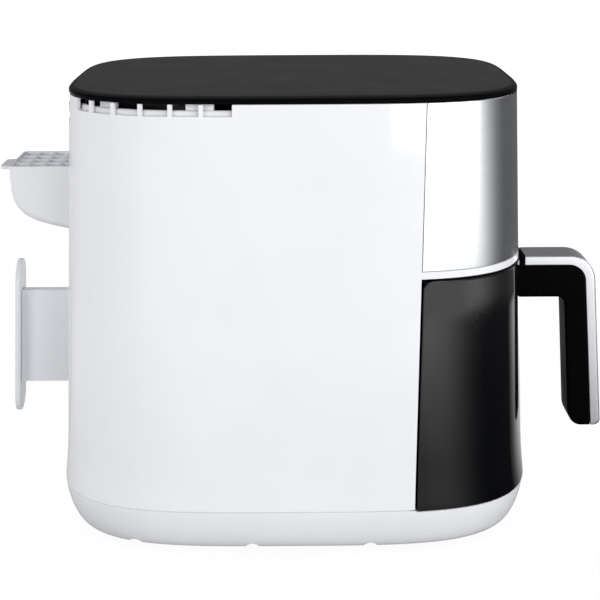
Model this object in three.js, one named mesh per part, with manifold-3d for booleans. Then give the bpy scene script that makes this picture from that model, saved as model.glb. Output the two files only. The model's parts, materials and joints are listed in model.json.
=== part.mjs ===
// Basket air fryer with a pull-out drawer, built as separate closed pieces.
// Millimetres, +Z up, floor at Z = 0. The front, with the drawer and its handle, looks towards -Y.

import * as THREE from 'three';
import { mergeVertices } from 'three/addons/utils/BufferGeometryUtils.js';
import Module from 'manifold-3d';

const wasm = await Module();
wasm.setup();

// ---------------------------------------------------------------- driving dimensions

const gap = 0.3; // between pieces that touch
const runningGap = 1.2; // round the drawer front, so that it can slide
const wall = 2.5; // moulded plastic
const sheet = 1.2; // folded steel
const farOut = 250; // from the middle, past every outside face

// Body: a rounded square in plan that widens slowly towards the floor.
const bodyHalfWidth = 150; // at the lid
const bodyHalfLength = 155; // at the lid
const squareness = 3.85; // power of the superellipse
const outlineSides = 48;
const sideDraft = 4.8; // growth of each side from the lid to the seam
const endDraft = 7.6;
const flareOut = 1.4; // last kick outwards above the seam
const flareHeight = 32;
const rimHeight = 5; // lower edge of the base above the floor
const baseHeight = 28; // from that edge to the seam
const shellHeight = 272; // from the seam to the lid

// Base tray.
const baseTuck = 11; // how far its lower edge is drawn in
const baseRoundness = 1.6; // power of its rounded profile
const trayFloorLift = 2.5; // floor above the lower edge
const chinDrop = 2; // step down under the drawer front
const scallopRadius = 5;
const scallopDepth = 3;
const scallopPitch = 80;
const scallopCentre = 30;
const scallopRun = 25; // they reach this far in from the body's side at the lid
const footRadius = 11;
const footInset = 50; // from the body's sides and ends at the lid
const screwInset = 14; // from the body's sides at the lid
const screwRearY = 60;
const screwFrontY = -50;
const screwHeadRadius = 3.5;
const screwShankRadius = 1.6;
const screwHeadHeight = 2.2;
const screwGrip = 8; // length of thread in the housing
const screwSeatDepth = 3.5; // from the seam down to the seat of the head
const screwBossHeight = 12;

// Lid.
const lidOverhang = 0.5;
const lidRim = 2.5; // upright edge
const lidCrown = 1.8; // rise of the soft shoulder
const lidShoulder = 11; // width of the shoulder
const lidSkirtDepth = 5;

// Split between the housing and the front pieces: it leans back towards the floor.
const frontDepth = 70.5; // from the body's front end, at the lid
const splitLean = 0.0187;
const steelHeight = 110; // steel face below the lid
const bandHeight = 5; // white band between the steel face and the drawer
const steelThickness = 0.9;

// Touch panel in the steel face.
const touchHalfWidth = 62;
const touchHeight = 60;
const touchDrop = 25; // below the lid
const glassThickness = 2.4;

// Air intake slots under the lid, and the two windows of the rear grille.
const slotHeight = 8.5;
const slotPitch = 20;
const slotRib = 3.3;
const slotRun = 115.4; // the first slot starts this far in front of the body's rear end
const slotCount = 6;
const channelDepth = 7; // from the outside to the recessed inner wall
const channelWallDrop = 3.6; // its top below the lid
const grilleInset = 53; // from the body's sides
const grilleBar = 1.7; // white bar between the two windows
const grilleLowerHeight = 8;
const grilleSlotPitch = 16;
const grilleSlotWidth = 11;
const grilleThickness = 1.5;

// Hot air outlet on the rear wall.
const hoodHalfWidth = 37;
const hoodStandOff = 47; // outer face behind the body's rear end at the lid
const hoodDrop = 56.5; // its top below the lid
const hoodDepth = 45; // height of the scoop
const hoodWall = 2;
const hoodBendReach = 42; // the rounded lower corner starts this far in front of the outer face
const hoodBendSoftness = 3.5;
const hoodBendRise = 11.5;
const hoodLip = 6.5; // straight stretch of the outer face under the rim
const gridPitchAcross = 16.8;
const gridPitchAlong = 10.3;
const gridBar = 2;
const gridThickness = 4;
const tabHalfWidth = 17;
const tabReach = 9.5; // beyond the hood
const tabDrop = 2.8;
const tabThickness = 2.4;
const ductHalfWidth = 27;
const ductHeight = 28;

// Cord wrap on the rear wall.
const wrapDrop = 131; // top of the flange below the lid
const wrapHeight = 115.5;
const wrapHalfWidth = 15;
const wrapStandOff = 51.5; // outer face of the flange behind the body's rear end, at mid height
const wrapLean = 0.045; // radians
const wrapFlange = 3.9;
const wrapFoot = 2.5; // thickness of the web's foot on the wall
const wrapFootEdge = 4; // the foot is this much wider than the web on each side
const webHalfWidth = 4.9;
const webDrop = 22.5; // below the top of the flange
const webHeight = 70;
const glandX = 48;
const glandHeight = 52;
const glandRadius = 6;
const glandCollar = 4; // how far it stands out
const cordHoleRadius = 3.6;

// Drawer front, pan and crisper plate.
const drawerProud = 0.6; // stands out from the housing
const drawerWall = 3;
const drawerCornerRadius = 5;
const panSideRoom = 38; // from the body's side to the pan's wall
const panSetback = 29; // from the body's rear end
const panBottom = 44;
const panHeight = 133;
const panWall = 1.5;
const panCornerRadius = 22;
const panRim = 6;
const panRimThickness = 1.8;
const plateLift = 14; // crisper plate above the pan's floor
const plateThickness = 1.6;
const plateClearance = 3.5;
const plateSlotLength = 32;
const plateSlotWidth = 9;
const plateSlotGap = 12;
const bumperRadius = 5;
const bumperNeck = 3;
const bumperInset = 18; // from the pan's walls

// Handle.
const handleHalfWidth = 16;
const handleDrop = 127.3; // top of the handle below the lid
const handleHeight = 129.7;
const handleStandOff = 64.5; // outer face at the top, in front of the body's front end
const handleLean = 0.062;
const handleDepth = 23; // from the outer face to the finger side
const handleCornerRadius = 20;
const handleTipRadius = 15;
const neckHeight = 29.6;
const neckInnerRadius = 6;
const trimThickness = 7.6;
const collarLength = 13; // black collar between the body's front end and the trim
const strapHalfWidth = 24; // steel strap behind the drawer front
const strapThickness = 2;
const strapMargin = 6; // above and below the handle's neck
const strapSetback = 1.5; // behind the drawer front's wall
const handleScrewLength = 18;

// Cooking space above the pan.
const cavityClearance = 3; // beside the pan's rim
const cavityRearClearance = 8; // behind the pan
const cavityCornerRadius = 25;
const cavityFloor = 37;
const openingHeadroom = 5.8; // from the pan's rim to the top of the drawer opening
const openingCornerRadius = 12;
const railThickness = 1.6;
const railHeight = 12;
const roofHeight = 192;
const roofHoleInset = 8; // inside the dome's wall
const domeRearRoom = 10; // from the dome to the pan's rear wall
const domeEndRoom = 17.25; // the dome is this much smaller than half the cooking space's length
const domeHeight = 44;
const domeShoulder = 10;
const elementRadius = 3.2;
const elementInner = 44;
const elementInset = 18; // from the dome's wall to the element's outer turn
const elementTurns = 2;
const elementTailAngle = 225; // degrees, where both tails rise
const elementTailStep = 20; // degrees between the tails
const elementTailLength = 7; // above the dome
const elementDip = 8; // the return run passes this far under the coil
const elementLift = 16; // above the roof
const guardThickness = 2.4;
const guardRingWidth = 3;
const guardBarPitch = 42;
const guardBar = 1.6;
const fanInset = 32; // from the dome's wall to the blades
const fanLift = 24; // above the roof
const fanBladeHeight = 14;
const fanHubRadius = 11;
const nutRadius = 6;
const nutHeight = 4;
const fanBladeCount = 6;
const shaftRadius = 3;
const shaftBearingGap = 0.4;
const passageGap = 1.6;
const shieldInset = 8; // inside the dome's wall
const bracketHalfWidth = 17;
const bracketInset = 20; // its ends are this far inside the dome's wall
const bracketLift = 9; // above the heat shield
const motorRadius = 29;
const motorHeight = 27;
const motorCap = 6; // slope of its end caps
const coolingFanRadius = 44;
const coolingBladeHeight = 8;
const coolingFanLift = 2; // above the motor
const shaftEnd = 6; // past each fan
const coolingBladeCount = 7;

// Electrical pieces.
const boardThickness = 1.6;
const controlBoardGap = 4; // behind the glass
const powerBoardHalfWidth = 58;
const powerBoardBottom = 208;
const powerBoardHeight = 76;
const powerBoardSetback = 13.5; // in front of the split
const relaySize = 18;
const transformerSize = 30;
const capacitorRadius = 6;
const capacitorHeight = 20;
const standOffRadius = 3;
const switchInset = 17; // from the body's side at the lid
const switchHeight = 150;
const plungerRadius = 2;
const plungerTravel = 2;
const plungerBore = 12;
const switchHalfWidth = 6;
const switchHalfHeight = 10;
const switchDepth = 16;
const cutoutX = 48;
const cutoutFront = 40; // in front of the fan's axis
const cutoutRadius = 8;
const cutoutHeight = 6;
const sensorOffset = 14; // beside the roof's hole
const sensorFront = 50; // in front of the fan's axis
const sensorRadius = 6;
const sensorHeight = 20;

// ---------------------------------------------------------------- places worked out from them

const footX = bodyHalfWidth - footInset;
const footY = bodyHalfLength - footInset;
const screwX = bodyHalfWidth - screwInset;
const splitAtTop = frontDepth - bodyHalfLength;
const slotStartY = bodyHalfLength - slotRun;
const grilleHalfWidth = bodyHalfWidth - grilleInset;
const hoodReach = bodyHalfLength + hoodStandOff;
const wrapReach = bodyHalfLength + wrapStandOff;
const handleReach = bodyHalfLength + handleStandOff;
const trimStartY = bodyHalfLength + collarLength;
const panRearY = bodyHalfLength - panSetback;
const panHalfWidth = bodyHalfWidth - panSideRoom;
const cavityHalfWidth = panHalfWidth + panRim + cavityClearance;
const cavityRearY = panRearY + cavityRearClearance;
const domeRadius = (cavityRearY - splitAtTop) / 2 - domeEndRoom;
const fanAxisY = panRearY - domeRearRoom - domeRadius;
const roofHoleRadius = domeRadius - roofHoleInset;
const shieldRadius = domeRadius - shieldInset;
const elementOuter = domeRadius - elementInset;
const fanRadius = domeRadius - fanInset;
const bracketHalfSpan = domeRadius - bracketInset;
const powerBoardY = splitAtTop - powerBoardSetback;
const switchX = bodyHalfWidth - switchInset;
const seamHeight = rimHeight + baseHeight;
const bodyTop = seamHeight + shellHeight;
const trayFloor = rimHeight + trayFloorLift;
const trayFloorTop = trayFloor + wall;
const steelBottom = bodyTop - steelHeight;
const drawerTop = steelBottom - bandHeight;
const chinTop = seamHeight - chinDrop;
const drawerBottom = chinTop + 0.5;
const ledgeTop = bodyTop - slotHeight;
const ledgeBottom = ledgeTop - grilleBar;
const panTop = panBottom + panHeight;
const panFrontY = splitAt(seamHeight) + gap - runningGap;
const roofTop = roofHeight + sheet;
const domeTop = roofTop + gap + domeHeight;
const shieldBottom = domeTop + gap;
const bracketBottom = shieldBottom + sheet + bracketLift;
const motorBottom = bracketBottom + sheet + gap;
const motorTop = motorBottom + motorHeight;
const wrapTop = bodyTop - wrapDrop;
const hoodTop = bodyTop - hoodDrop;
const hoodBottom = hoodTop - hoodDepth;
const ductBottom = hoodBottom + 9;
const handleTop = bodyTop - handleDrop;
const handleBottom = handleTop - handleHeight;

// ---------------------------------------------------------------- shapes

// Turns a closed three.js geometry into a solid that can be joined and cut.
function solid(geometry) {
  geometry.deleteAttribute('normal');
  geometry.deleteAttribute('uv');
  const merged = mergeVertices(geometry);
  const corners = merged.index.array;
  const triangles = [];
  for (let i = 0; i < corners.length; i += 3) {
    const [a, b, c] = [corners[i], corners[i + 1], corners[i + 2]];
    if (a !== b && b !== c && c !== a) triangles.push(a, b, c);
  }
  const vertProperties = new Float32Array(merged.attributes.position.array);
  if (signedVolume(vertProperties, triangles) < 0) triangles.reverse();
  return new wasm.Manifold(new wasm.Mesh({
    numProp: 3,
    vertProperties,
    triVerts: new Uint32Array(triangles),
  }));
}

function signedVolume(points, triangles) {
  const corner = (i) => new THREE.Vector3().fromArray(points, 3 * triangles[i]);
  let volume = 0;
  for (let i = 0; i < triangles.length; i += 3) {
    volume += corner(i).dot(corner(i + 1).cross(corner(i + 2)));
  }
  return volume;
}

function geometryOf(manifold) {
  const { vertProperties, triVerts } = manifold.getMesh();
  const geometry = new THREE.BufferGeometry();
  geometry.setAttribute('position', new THREE.BufferAttribute(vertProperties, 3));
  geometry.setIndex(new THREE.BufferAttribute(triVerts, 1));
  geometry.computeVertexNormals();
  return geometry;
}

function unionOf(solids) {
  return solids.reduce((whole, next) => whole.add(next));
}

function block(x0, x1, y0, y1, z0, z1) {
  const geometry = new THREE.BoxGeometry(x1 - x0, y1 - y0, z1 - z0);
  geometry.translate((x0 + x1) / 2, (y0 + y1) / 2, (z0 + z1) / 2);
  return solid(geometry);
}

function upright(radius, z0, z1, x = 0, y = 0, sides = 12) {
  const geometry = new THREE.CylinderGeometry(radius, radius, z1 - z0, sides);
  geometry.rotateX(Math.PI / 2);
  geometry.translate(x, y, (z0 + z1) / 2);
  return solid(geometry);
}

function crosswise(radius, x0, x1, y, z, sides = 12) {
  const geometry = new THREE.CylinderGeometry(radius, radius, x1 - x0, sides);
  geometry.rotateZ(Math.PI / 2);
  geometry.translate((x0 + x1) / 2, y, z);
  return solid(geometry);
}

function lengthwise(radius, y0, y1, x, z, sides = 8) {
  const geometry = new THREE.CylinderGeometry(radius, radius, y1 - y0, sides);
  geometry.translate(x, (y0 + y1) / 2, z);
  return solid(geometry);
}

// A solid of revolution about an upright axis through (x, y).
function turned(profile, x = 0, y = 0, sides = 32) {
  const points = profile.map(([radius, z]) => new THREE.Vector2(radius, z));
  const geometry = new THREE.LatheGeometry(points, sides);
  geometry.rotateX(Math.PI / 2);
  geometry.translate(x, y, 0);
  return solid(geometry);
}

// A side outline, drawn as (y, z), stretched from x0 to x1.
function sideways(shape, x0, x1, curveSegments = 8) {
  const geometry = new THREE.ExtrudeGeometry(shape, { depth: x1 - x0, bevelEnabled: false, curveSegments });
  const [x, y, z] = [[1, 0, 0], [0, 1, 0], [0, 0, 1]].map((axis) => new THREE.Vector3(...axis));
  geometry.applyMatrix4(new THREE.Matrix4().makeBasis(y, z, x));
  geometry.translate(x0, 0, 0);
  return solid(geometry);
}

// A plan outline, drawn as (x, y), stretched from z0 to z1.
function stretchedUp(shape, z0, z1, curveSegments = 6) {
  const geometry = new THREE.ExtrudeGeometry(shape, { depth: z1 - z0, bevelEnabled: false, curveSegments });
  geometry.translate(0, 0, z0);
  return solid(geometry);
}

// A front outline, drawn as (x, z), stretched from y0 to y1.
function stretchedBack(shape, y0, y1, curveSegments = 6) {
  const geometry = new THREE.ExtrudeGeometry(shape, { depth: y1 - y0, bevelEnabled: false, curveSegments });
  geometry.rotateX(Math.PI / 2);
  geometry.translate(0, y1, 0);
  return solid(geometry);
}

function polygon(points) {
  return new THREE.Shape(points.map(([x, y]) => new THREE.Vector2(x, y)));
}

function roundedRectangle(x0, x1, y0, y1, radius) {
  const shape = new THREE.Shape();
  shape.absarc(x1 - radius, y1 - radius, radius, 0, Math.PI / 2);
  shape.absarc(x0 + radius, y1 - radius, radius, Math.PI / 2, Math.PI);
  shape.absarc(x0 + radius, y0 + radius, radius, Math.PI, 1.5 * Math.PI);
  shape.absarc(x1 - radius, y0 + radius, radius, 1.5 * Math.PI, 2 * Math.PI);
  return shape;
}

// ---------------------------------------------------------------- the body's outline

function bodyHalfSizes(z) {
  const down = THREE.MathUtils.clamp((bodyTop - z) / shellHeight, 0, 1);
  const kick = flareOut * THREE.MathUtils.clamp(1 - (z - seamHeight) / flareHeight, 0, 1) ** 2;
  return {
    halfWidth: bodyHalfWidth + sideDraft * down + kick,
    halfLength: bodyHalfLength + endDraft * down + kick,
  };
}

function roundedPower(value) {
  return Math.sign(value) * Math.abs(value) ** (2 / squareness);
}

function outlinePoint(angle, z, inset) {
  const { halfWidth, halfLength } = bodyHalfSizes(z);
  const [across, along] = [roundedPower(Math.cos(angle)), roundedPower(Math.sin(angle))];
  return [across * (halfWidth - inset), along * (halfLength - inset)];
}

// A solid that fills the body's outline, drawn in by each level's inset. Levels run downwards.
function bodyFill(levels, sides = outlineSides) {
  const rows = levels.length - 1;
  const geometry = new THREE.CylinderGeometry(1, 1, rows, sides, rows);
  const position = geometry.attributes.position;
  for (let i = 0; i < position.count; i++) {
    const [z, inset] = levels[Math.round(rows / 2 - position.getY(i))];
    const radius = Math.hypot(position.getX(i), position.getZ(i));
    const angle = Math.atan2(-position.getZ(i), position.getX(i));
    const [x, y] = outlinePoint(angle, z, inset);
    position.setXYZ(i, radius * x, radius * y, z);
  }
  return solid(geometry);
}

// The body's outline between two heights, with rings where the flare bends.
function bodyBetween(zTop, zBottom, inset) {
  const bends = [1, 0.5, 0].map((share) => seamHeight + share * flareHeight);
  const inside = bends.filter((z) => z < zTop - 0.1 && z > zBottom + 0.1);
  return bodyFill([zTop, ...inside, zBottom].map((z) => [z, inset]));
}

function bodySkin(zTop, zBottom, outerInset, innerInset) {
  return bodyBetween(zTop, zBottom, outerInset).subtract(bodyBetween(zTop + 1, zBottom - 1, innerInset));
}

// The space behind the body's rear wall, for pieces mounted on it.
function behindBody() {
  const space = block(-farOut, farOut, 0, farOut, seamHeight, bodyTop);
  return space.subtract(bodyBetween(bodyTop + 1, seamHeight - 1, -gap));
}

// Where the housing ends and the front pieces begin.
function splitAt(z) {
  return splitAtTop + splitLean * (bodyTop - z);
}

// Everything in front of the split, moved by shift, between two heights.
function frontOf(shift, z0, z1) {
  const corners = [[-farOut, z0], [splitAt(z0) + shift, z0], [splitAt(z1) + shift, z1], [-farOut, z1]];
  return sideways(polygon(corners), -farOut, farOut);
}

// A leaning slab just behind the split, between two shifts.
function splitSlab(shift0, shift1, z0, z1) {
  return frontOf(shift1, z0, z1).subtract(frontOf(shift0, z0 - 1, z1 + 1));
}

// ---------------------------------------------------------------- materials

function finish(color, roughness, metalness) {
  return new THREE.MeshStandardMaterial({ color, roughness, metalness });
}

const whitePlastic = finish(0xf0f1f5, 0.3, 0);
const blackGloss = finish(0x17181b, 0.12, 0);
const blackSatin = finish(0x3a3b3e, 0.45, 0);
const blackMatt = finish(0x141416, 0.6, 0);
const silver = finish(0xc9cacd, 0.35, 0.9);
const brushedSteel = finish(0xb9bbbd, 0.3, 1);
const plainSteel = finish(0x9c9fa2, 0.45, 1);
const aluminium = finish(0xb4b6b8, 0.5, 1);
const nonStick = finish(0x2a2a2c, 0.5, 0.2);
const rubber = finish(0x232323, 0.85, 0);
const glass = finish(0x0a0b0d, 0.05, 0);
const boardGreen = finish(0x2e6b45, 0.6, 0);
const copperWinding = finish(0xa9683c, 0.4, 0.8);

const fryer = new THREE.Group();

function piece(parent, name, manifold, material, place = [0, 0, 0]) {
  const mesh = new THREE.Mesh(geometryOf(manifold), material);
  mesh.name = name;
  mesh.position.set(...place);
  parent.add(mesh);
}

// ---------------------------------------------------------------- base

function baseInset(z) {
  const down = THREE.MathUtils.clamp((seamHeight - z) / baseHeight, 0, 1);
  return baseTuck * (1 - (1 - down ** baseRoundness) ** (1 / baseRoundness));
}

function baseLevels(shares, extra) {
  return shares.map((share) => {
    const z = seamHeight - share * baseHeight;
    return [z, baseInset(z) + extra];
  });
}

function baseTray() {
  const outer = bodyFill(baseLevels([0, 0.45, 0.75, 0.93, 1], 0));
  const floorShare = (seamHeight - trayFloorTop) / baseHeight;
  const inner = bodyFill(baseLevels([-0.1, 0.45, floorShare], wall), outlineSides / 2);
  const foldIn = baseTuck + wall;
  const underside = bodyFill([[trayFloor, foldIn], [rimHeight - 1, foldIn]], outlineSides / 2);
  const chinShares = [chinDrop / baseHeight, (chinDrop + wall) / baseHeight];
  const chin = bodyFill(baseLevels(chinShares, wall / 2)).intersect(frontOf(runningGap, 0, seamHeight));
  let tray = outer.subtract(inner).subtract(underside).add(chin);
  tray = tray.subtract(frontOf(0, chinTop, seamHeight + 1));
  for (const [x, y] of screwPlaces()) tray = tray.add(screwPost(x, y)).subtract(screwBore(x, y));
  for (const cutter of scallops()) tray = tray.subtract(cutter);
  for (const [x, y] of footPlaces()) {
    tray = tray.subtract(upright(footRadius / 3 + gap, rimHeight, trayFloorTop + 1, x, y));
  }
  return tray;
}

// Half-round notches in the lower edge, on both sides.
function scallops() {
  const cutters = [];
  for (const side of [-1, 1]) {
    for (const step of [-1, 0, 1]) {
      const ends = [side * (bodyHalfWidth - scallopRun), side * farOut].sort((a, b) => a - b);
      const y = scallopCentre + step * scallopPitch;
      cutters.push(crosswise(scallopRadius, ...ends, y, rimHeight + scallopDepth - scallopRadius));
    }
  }
  return cutters;
}

function screwPlaces() {
  return [-1, 1].flatMap((side) => [[side * screwX, screwFrontY], [side * screwX, screwRearY]]);
}

function screwPost(x, y) {
  return upright(screwHeadRadius + wall, trayFloor, seamHeight - gap, x, y);
}

function screwBore(x, y) {
  const shank = upright(screwShankRadius + gap, 0, seamHeight + 1, x, y, 12);
  return upright(screwHeadRadius + gap, 0, seamHeight - screwSeatDepth, x, y).add(shank);
}

function footPlaces() {
  return [-1, 1].flatMap((side) => [[side * footX, -footY], [side * footX, footY]]);
}

function foot() {
  const seat = trayFloor - gap;
  const profile = [[0, 0], [footRadius, 0], [footRadius, seat]];
  profile.push([footRadius / 3, seat], [footRadius / 3, trayFloorTop + 2], [0, trayFloorTop + 2]);
  return turned(profile, 0, 0, 16);
}

function baseScrew() {
  const seat = seamHeight - screwSeatDepth - gap;
  const tip = seamHeight + screwGrip;
  const under = seat - screwHeadHeight;
  const profile = [[0, under], [screwHeadRadius, under], [screwHeadRadius, seat]];
  profile.push([screwShankRadius, seat], [screwShankRadius, tip], [0, tip + screwShankRadius]);
  return turned(profile, 0, 0, 8);
}

// ---------------------------------------------------------------- housing

function housingShell() {
  let shell = bodySkin(bodyTop, seamHeight + gap, 0, wall);
  shell = shell.subtract(frontOf(0, 0, drawerTop + gap));
  shell = shell.add(frontShelf()).add(intakeChannel());
  shell = shell.subtract(steelRecess()).subtract(touchWindow(gap));
  for (const cutter of intakeSlots()) shell = shell.subtract(cutter);
  for (const cutter of grilleWindows()) shell = shell.subtract(cutter);
  for (const [x, y] of screwPlaces()) shell = shell.add(screwBoss(x, y)).subtract(screwHole(x, y));
  shell = shell.subtract(ductOpening(gap));
  return shell.subtract(lengthwise(glandRadius + gap, 0, farOut, glandX, glandHeight, 16));
}

// Floor of the upper front part, over the drawer.
function frontShelf() {
  return bodyBetween(drawerTop + gap + wall, drawerTop + gap, wall / 2).intersect(frontOf(wall, 0, bodyTop));
}

// Ledge and recessed wall behind the intake slots, on both sides.
function intakeChannel() {
  const ledge = bodySkin(ledgeTop, ledgeBottom, wall / 2, channelDepth + wall);
  const innerWall = bodySkin(bodyTop - channelWallDrop, ledgeBottom, channelDepth, channelDepth + wall);
  const rear = grilleHalfWidth + wall + gap;
  const zone = block(-farOut, farOut, slotStartY - wall, farOut, 0, bodyTop);
  return ledge.add(innerWall).intersect(zone.subtract(block(-rear, rear, 0, farOut, 0, bodyTop)));
}

// The body's half length at a given distance from its middle plane.
function outlineYAt(x, z) {
  const { halfWidth, halfLength } = bodyHalfSizes(z);
  return halfLength * (1 - (x / halfWidth) ** squareness) ** (1 / squareness);
}

function steelRecess() {
  const ring = bodySkin(bodyTop + 1, steelBottom, -1, steelThickness + gap);
  return ring.intersect(frontOf(0, steelBottom, bodyTop + 1));
}

function touchWindow(clearance) {
  const top = bodyTop - touchDrop + clearance;
  const halfWidth = touchHalfWidth + clearance;
  return block(-halfWidth, halfWidth, -farOut, splitAtTop, top - touchHeight - 2 * clearance, top);
}

// Points along the side of the outline, equally spaced from slotStartY towards the rear.
function slotCentres() {
  const centres = [];
  let angle = Math.PI - Math.asin((slotStartY / bodyHalfLength) ** (squareness / 2));
  let [x, y] = outlinePoint(angle, bodyTop, 0);
  let travelled = 0;
  while (centres.length < slotCount) {
    angle -= 0.0005;
    const [nextX, nextY] = outlinePoint(angle, bodyTop, 0);
    const step = Math.hypot(nextX - x, nextY - y);
    travelled += step;
    if (travelled > (slotPitch - slotRib) / 2 + slotPitch * centres.length) {
      centres.push({ x, y, turn: Math.atan2(nextY - y, nextX - x) });
    }
    [x, y] = [nextX, nextY];
  }
  return centres;
}

function intakeSlots() {
  const cutters = [];
  for (const { x, y, turn } of slotCentres()) {
    const cutter = new THREE.BoxGeometry(slotPitch - slotRib, 2 * wall + 2, slotHeight + 1);
    cutter.rotateZ(turn);
    cutter.translate(x, y, ledgeTop + (slotHeight + 1) / 2);
    cutters.push(solid(cutter.clone()), solid(mirrored(cutter)));
  }
  return cutters;
}

// The same geometry on the other side of the middle plane.
function mirrored(geometry) {
  return geometry.applyMatrix4(new THREE.Matrix4().makeScale(-1, 1, 1));
}

function grilleWindows() {
  const window = (z0, z1) => block(-grilleHalfWidth, grilleHalfWidth, 0, farOut, z0, z1);
  return [window(ledgeTop, bodyTop + 1), window(ledgeBottom - grilleLowerHeight, ledgeBottom)];
}

function screwBoss(x, y) {
  const side = Math.sign(x);
  const ends = [x, side * (bodyHalfWidth + sideDraft - wall / 2)].sort((a, b) => a - b);
  const [low, high] = [seamHeight + gap, seamHeight + screwBossHeight];
  const rib = block(...ends, y - wall / 2, y + wall / 2, low, high);
  return upright(screwShankRadius + wall, low, high, x, y).add(rib);
}

function screwHole(x, y) {
  return upright(screwShankRadius + gap, 0, seamHeight + screwGrip + wall, x, y, 12);
}

function ductOpening(clearance) {
  const halfWidth = ductHalfWidth + clearance;
  return block(-halfWidth, halfWidth, 0, farOut, ductBottom - clearance, ductBottom + ductHeight + clearance);
}

// ---------------------------------------------------------------- lid, steel face and touch panel

function topLid() {
  const bottom = bodyTop + gap;
  const rimTop = bottom + lidRim;
  const top = rimTop + lidCrown;
  const outer = bodyFill([
    [top, lidShoulder],
    [rimTop + 0.7 * lidCrown, lidShoulder / 3],
    [rimTop, -lidOverhang],
    [bottom, -lidOverhang],
  ]);
  const hollow = bodyFill([[top - wall, lidShoulder + wall], [bottom - 1, lidShoulder + wall]]);
  const skirtTop = bottom + lidRim / 2;
  const skirt = bodySkin(skirtTop, bodyTop - lidSkirtDepth, wall + gap, 2 * wall);
  const skirtZone = block(-farOut, farOut, -farOut, slotStartY - 2 * wall, 0, skirtTop);
  return outer.subtract(hollow).add(skirt.intersect(skirtZone));
}

function steelFace() {
  return bodySkin(bodyTop, steelBottom + gap, 0, steelThickness)
    .intersect(frontOf(-gap, steelBottom, bodyTop))
    .subtract(touchWindow(gap));
}

function touchPanel() {
  return bodySkin(bodyTop, steelBottom, 0, glassThickness).intersect(touchWindow(0));
}

// ---------------------------------------------------------------- rear grille

function rearGrille() {
  const bottom = ledgeBottom - grilleLowerHeight - 2 * wall;
  const inset = wall + gap;
  const plate = bodySkin(bodyTop - gap, bottom, inset, inset + grilleThickness);
  const halfWidth = grilleHalfWidth + wall;
  let grille = plate.intersect(block(-halfWidth, halfWidth, 0, farOut, bottom, bodyTop));
  const count = Math.floor(grilleHalfWidth / grilleSlotPitch);
  for (let i = -count; i <= count; i++) {
    const middle = i * grilleSlotPitch;
    const low = ledgeBottom - grilleLowerHeight;
    const [x0, x1] = [middle - grilleSlotWidth / 2, middle + grilleSlotWidth / 2];
    grille = grille.subtract(block(x0, x1, 0, farOut, low, bodyTop - grilleThickness));
  }
  return grille;
}

// ---------------------------------------------------------------- hot air outlet

// Side outline of the scoop, drawn in by inset. It runs from inside the body to its outer face.
function hoodOutline(inset) {
  const low = hoodBottom + inset;
  const high = hoodTop + inset;
  const reach = hoodReach - inset;
  const bendStart = [hoodReach - hoodBendReach, low];
  const bendEnd = [reach, hoodTop - hoodLip];
  const first = [reach - hoodBendReach / 3, low + hoodBendSoftness];
  const second = [reach - 1.5, low + hoodBendRise];
  const shape = new THREE.Shape();
  shape.moveTo(0, low - 1);
  shape.lineTo(...bendStart);
  shape.bezierCurveTo(...first, ...second, ...bendEnd);
  shape.lineTo(reach, high);
  shape.lineTo(0, high);
  return shape;
}

function outletHood() {
  const outer = sideways(hoodOutline(0), -hoodHalfWidth, hoodHalfWidth);
  const inner = sideways(hoodOutline(hoodWall), -hoodHalfWidth + hoodWall, hoodHalfWidth - hoodWall);
  const tabTop = hoodTop - tabDrop;
  const tabLow = tabTop - tabThickness;
  const [tabRoot, tabEnd] = [hoodReach - hoodWall / 2, hoodReach + tabReach];
  const tab = block(-tabHalfWidth, tabHalfWidth, tabRoot, tabEnd, tabLow, tabTop);
  return outer.subtract(inner).add(tab).intersect(behindBody());
}

function outletGrid() {
  const halfWidth = hoodHalfWidth - hoodWall - gap;
  const [rear, low] = [hoodReach - hoodWall - gap, hoodTop - gridThickness];
  const frame = block(-halfWidth, halfWidth, 0, rear, low, hoodTop).intersect(behindBody());
  const halfCellX = (gridPitchAcross - gridBar) / 2;
  const halfCellY = (gridPitchAlong - gridBar) / 2;
  const columns = Math.floor((2 * halfWidth - gridBar) / gridPitchAcross);
  const rows = Math.floor((rear - bodyHalfLength) / gridPitchAlong) + 1;
  let grid = frame;
  for (let i = 0; i < columns; i++) {
    for (let j = 0; j < rows; j++) {
      const x = (i - (columns - 1) / 2) * gridPitchAcross;
      const y = rear - gridBar - halfCellY - j * gridPitchAlong;
      const hole = block(x - halfCellX, x + halfCellX, y - halfCellY, y + halfCellY, low - 1, hoodTop + 1);
      grid = grid.subtract(hole);
    }
  }
  return grid;
}

function exhaustDuct() {
  const front = fanAxisY + domeRadius + gap;
  const rear = bodyHalfLength;
  const outer = block(-ductHalfWidth, ductHalfWidth, front, rear, ductBottom, ductBottom + ductHeight);
  const inner = block(
    -ductHalfWidth + sheet, ductHalfWidth - sheet, front - 1, rear + 1,
    ductBottom + sheet, ductBottom + ductHeight - sheet,
  );
  return outer.subtract(inner);
}

// ---------------------------------------------------------------- cord wrap and gland

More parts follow.
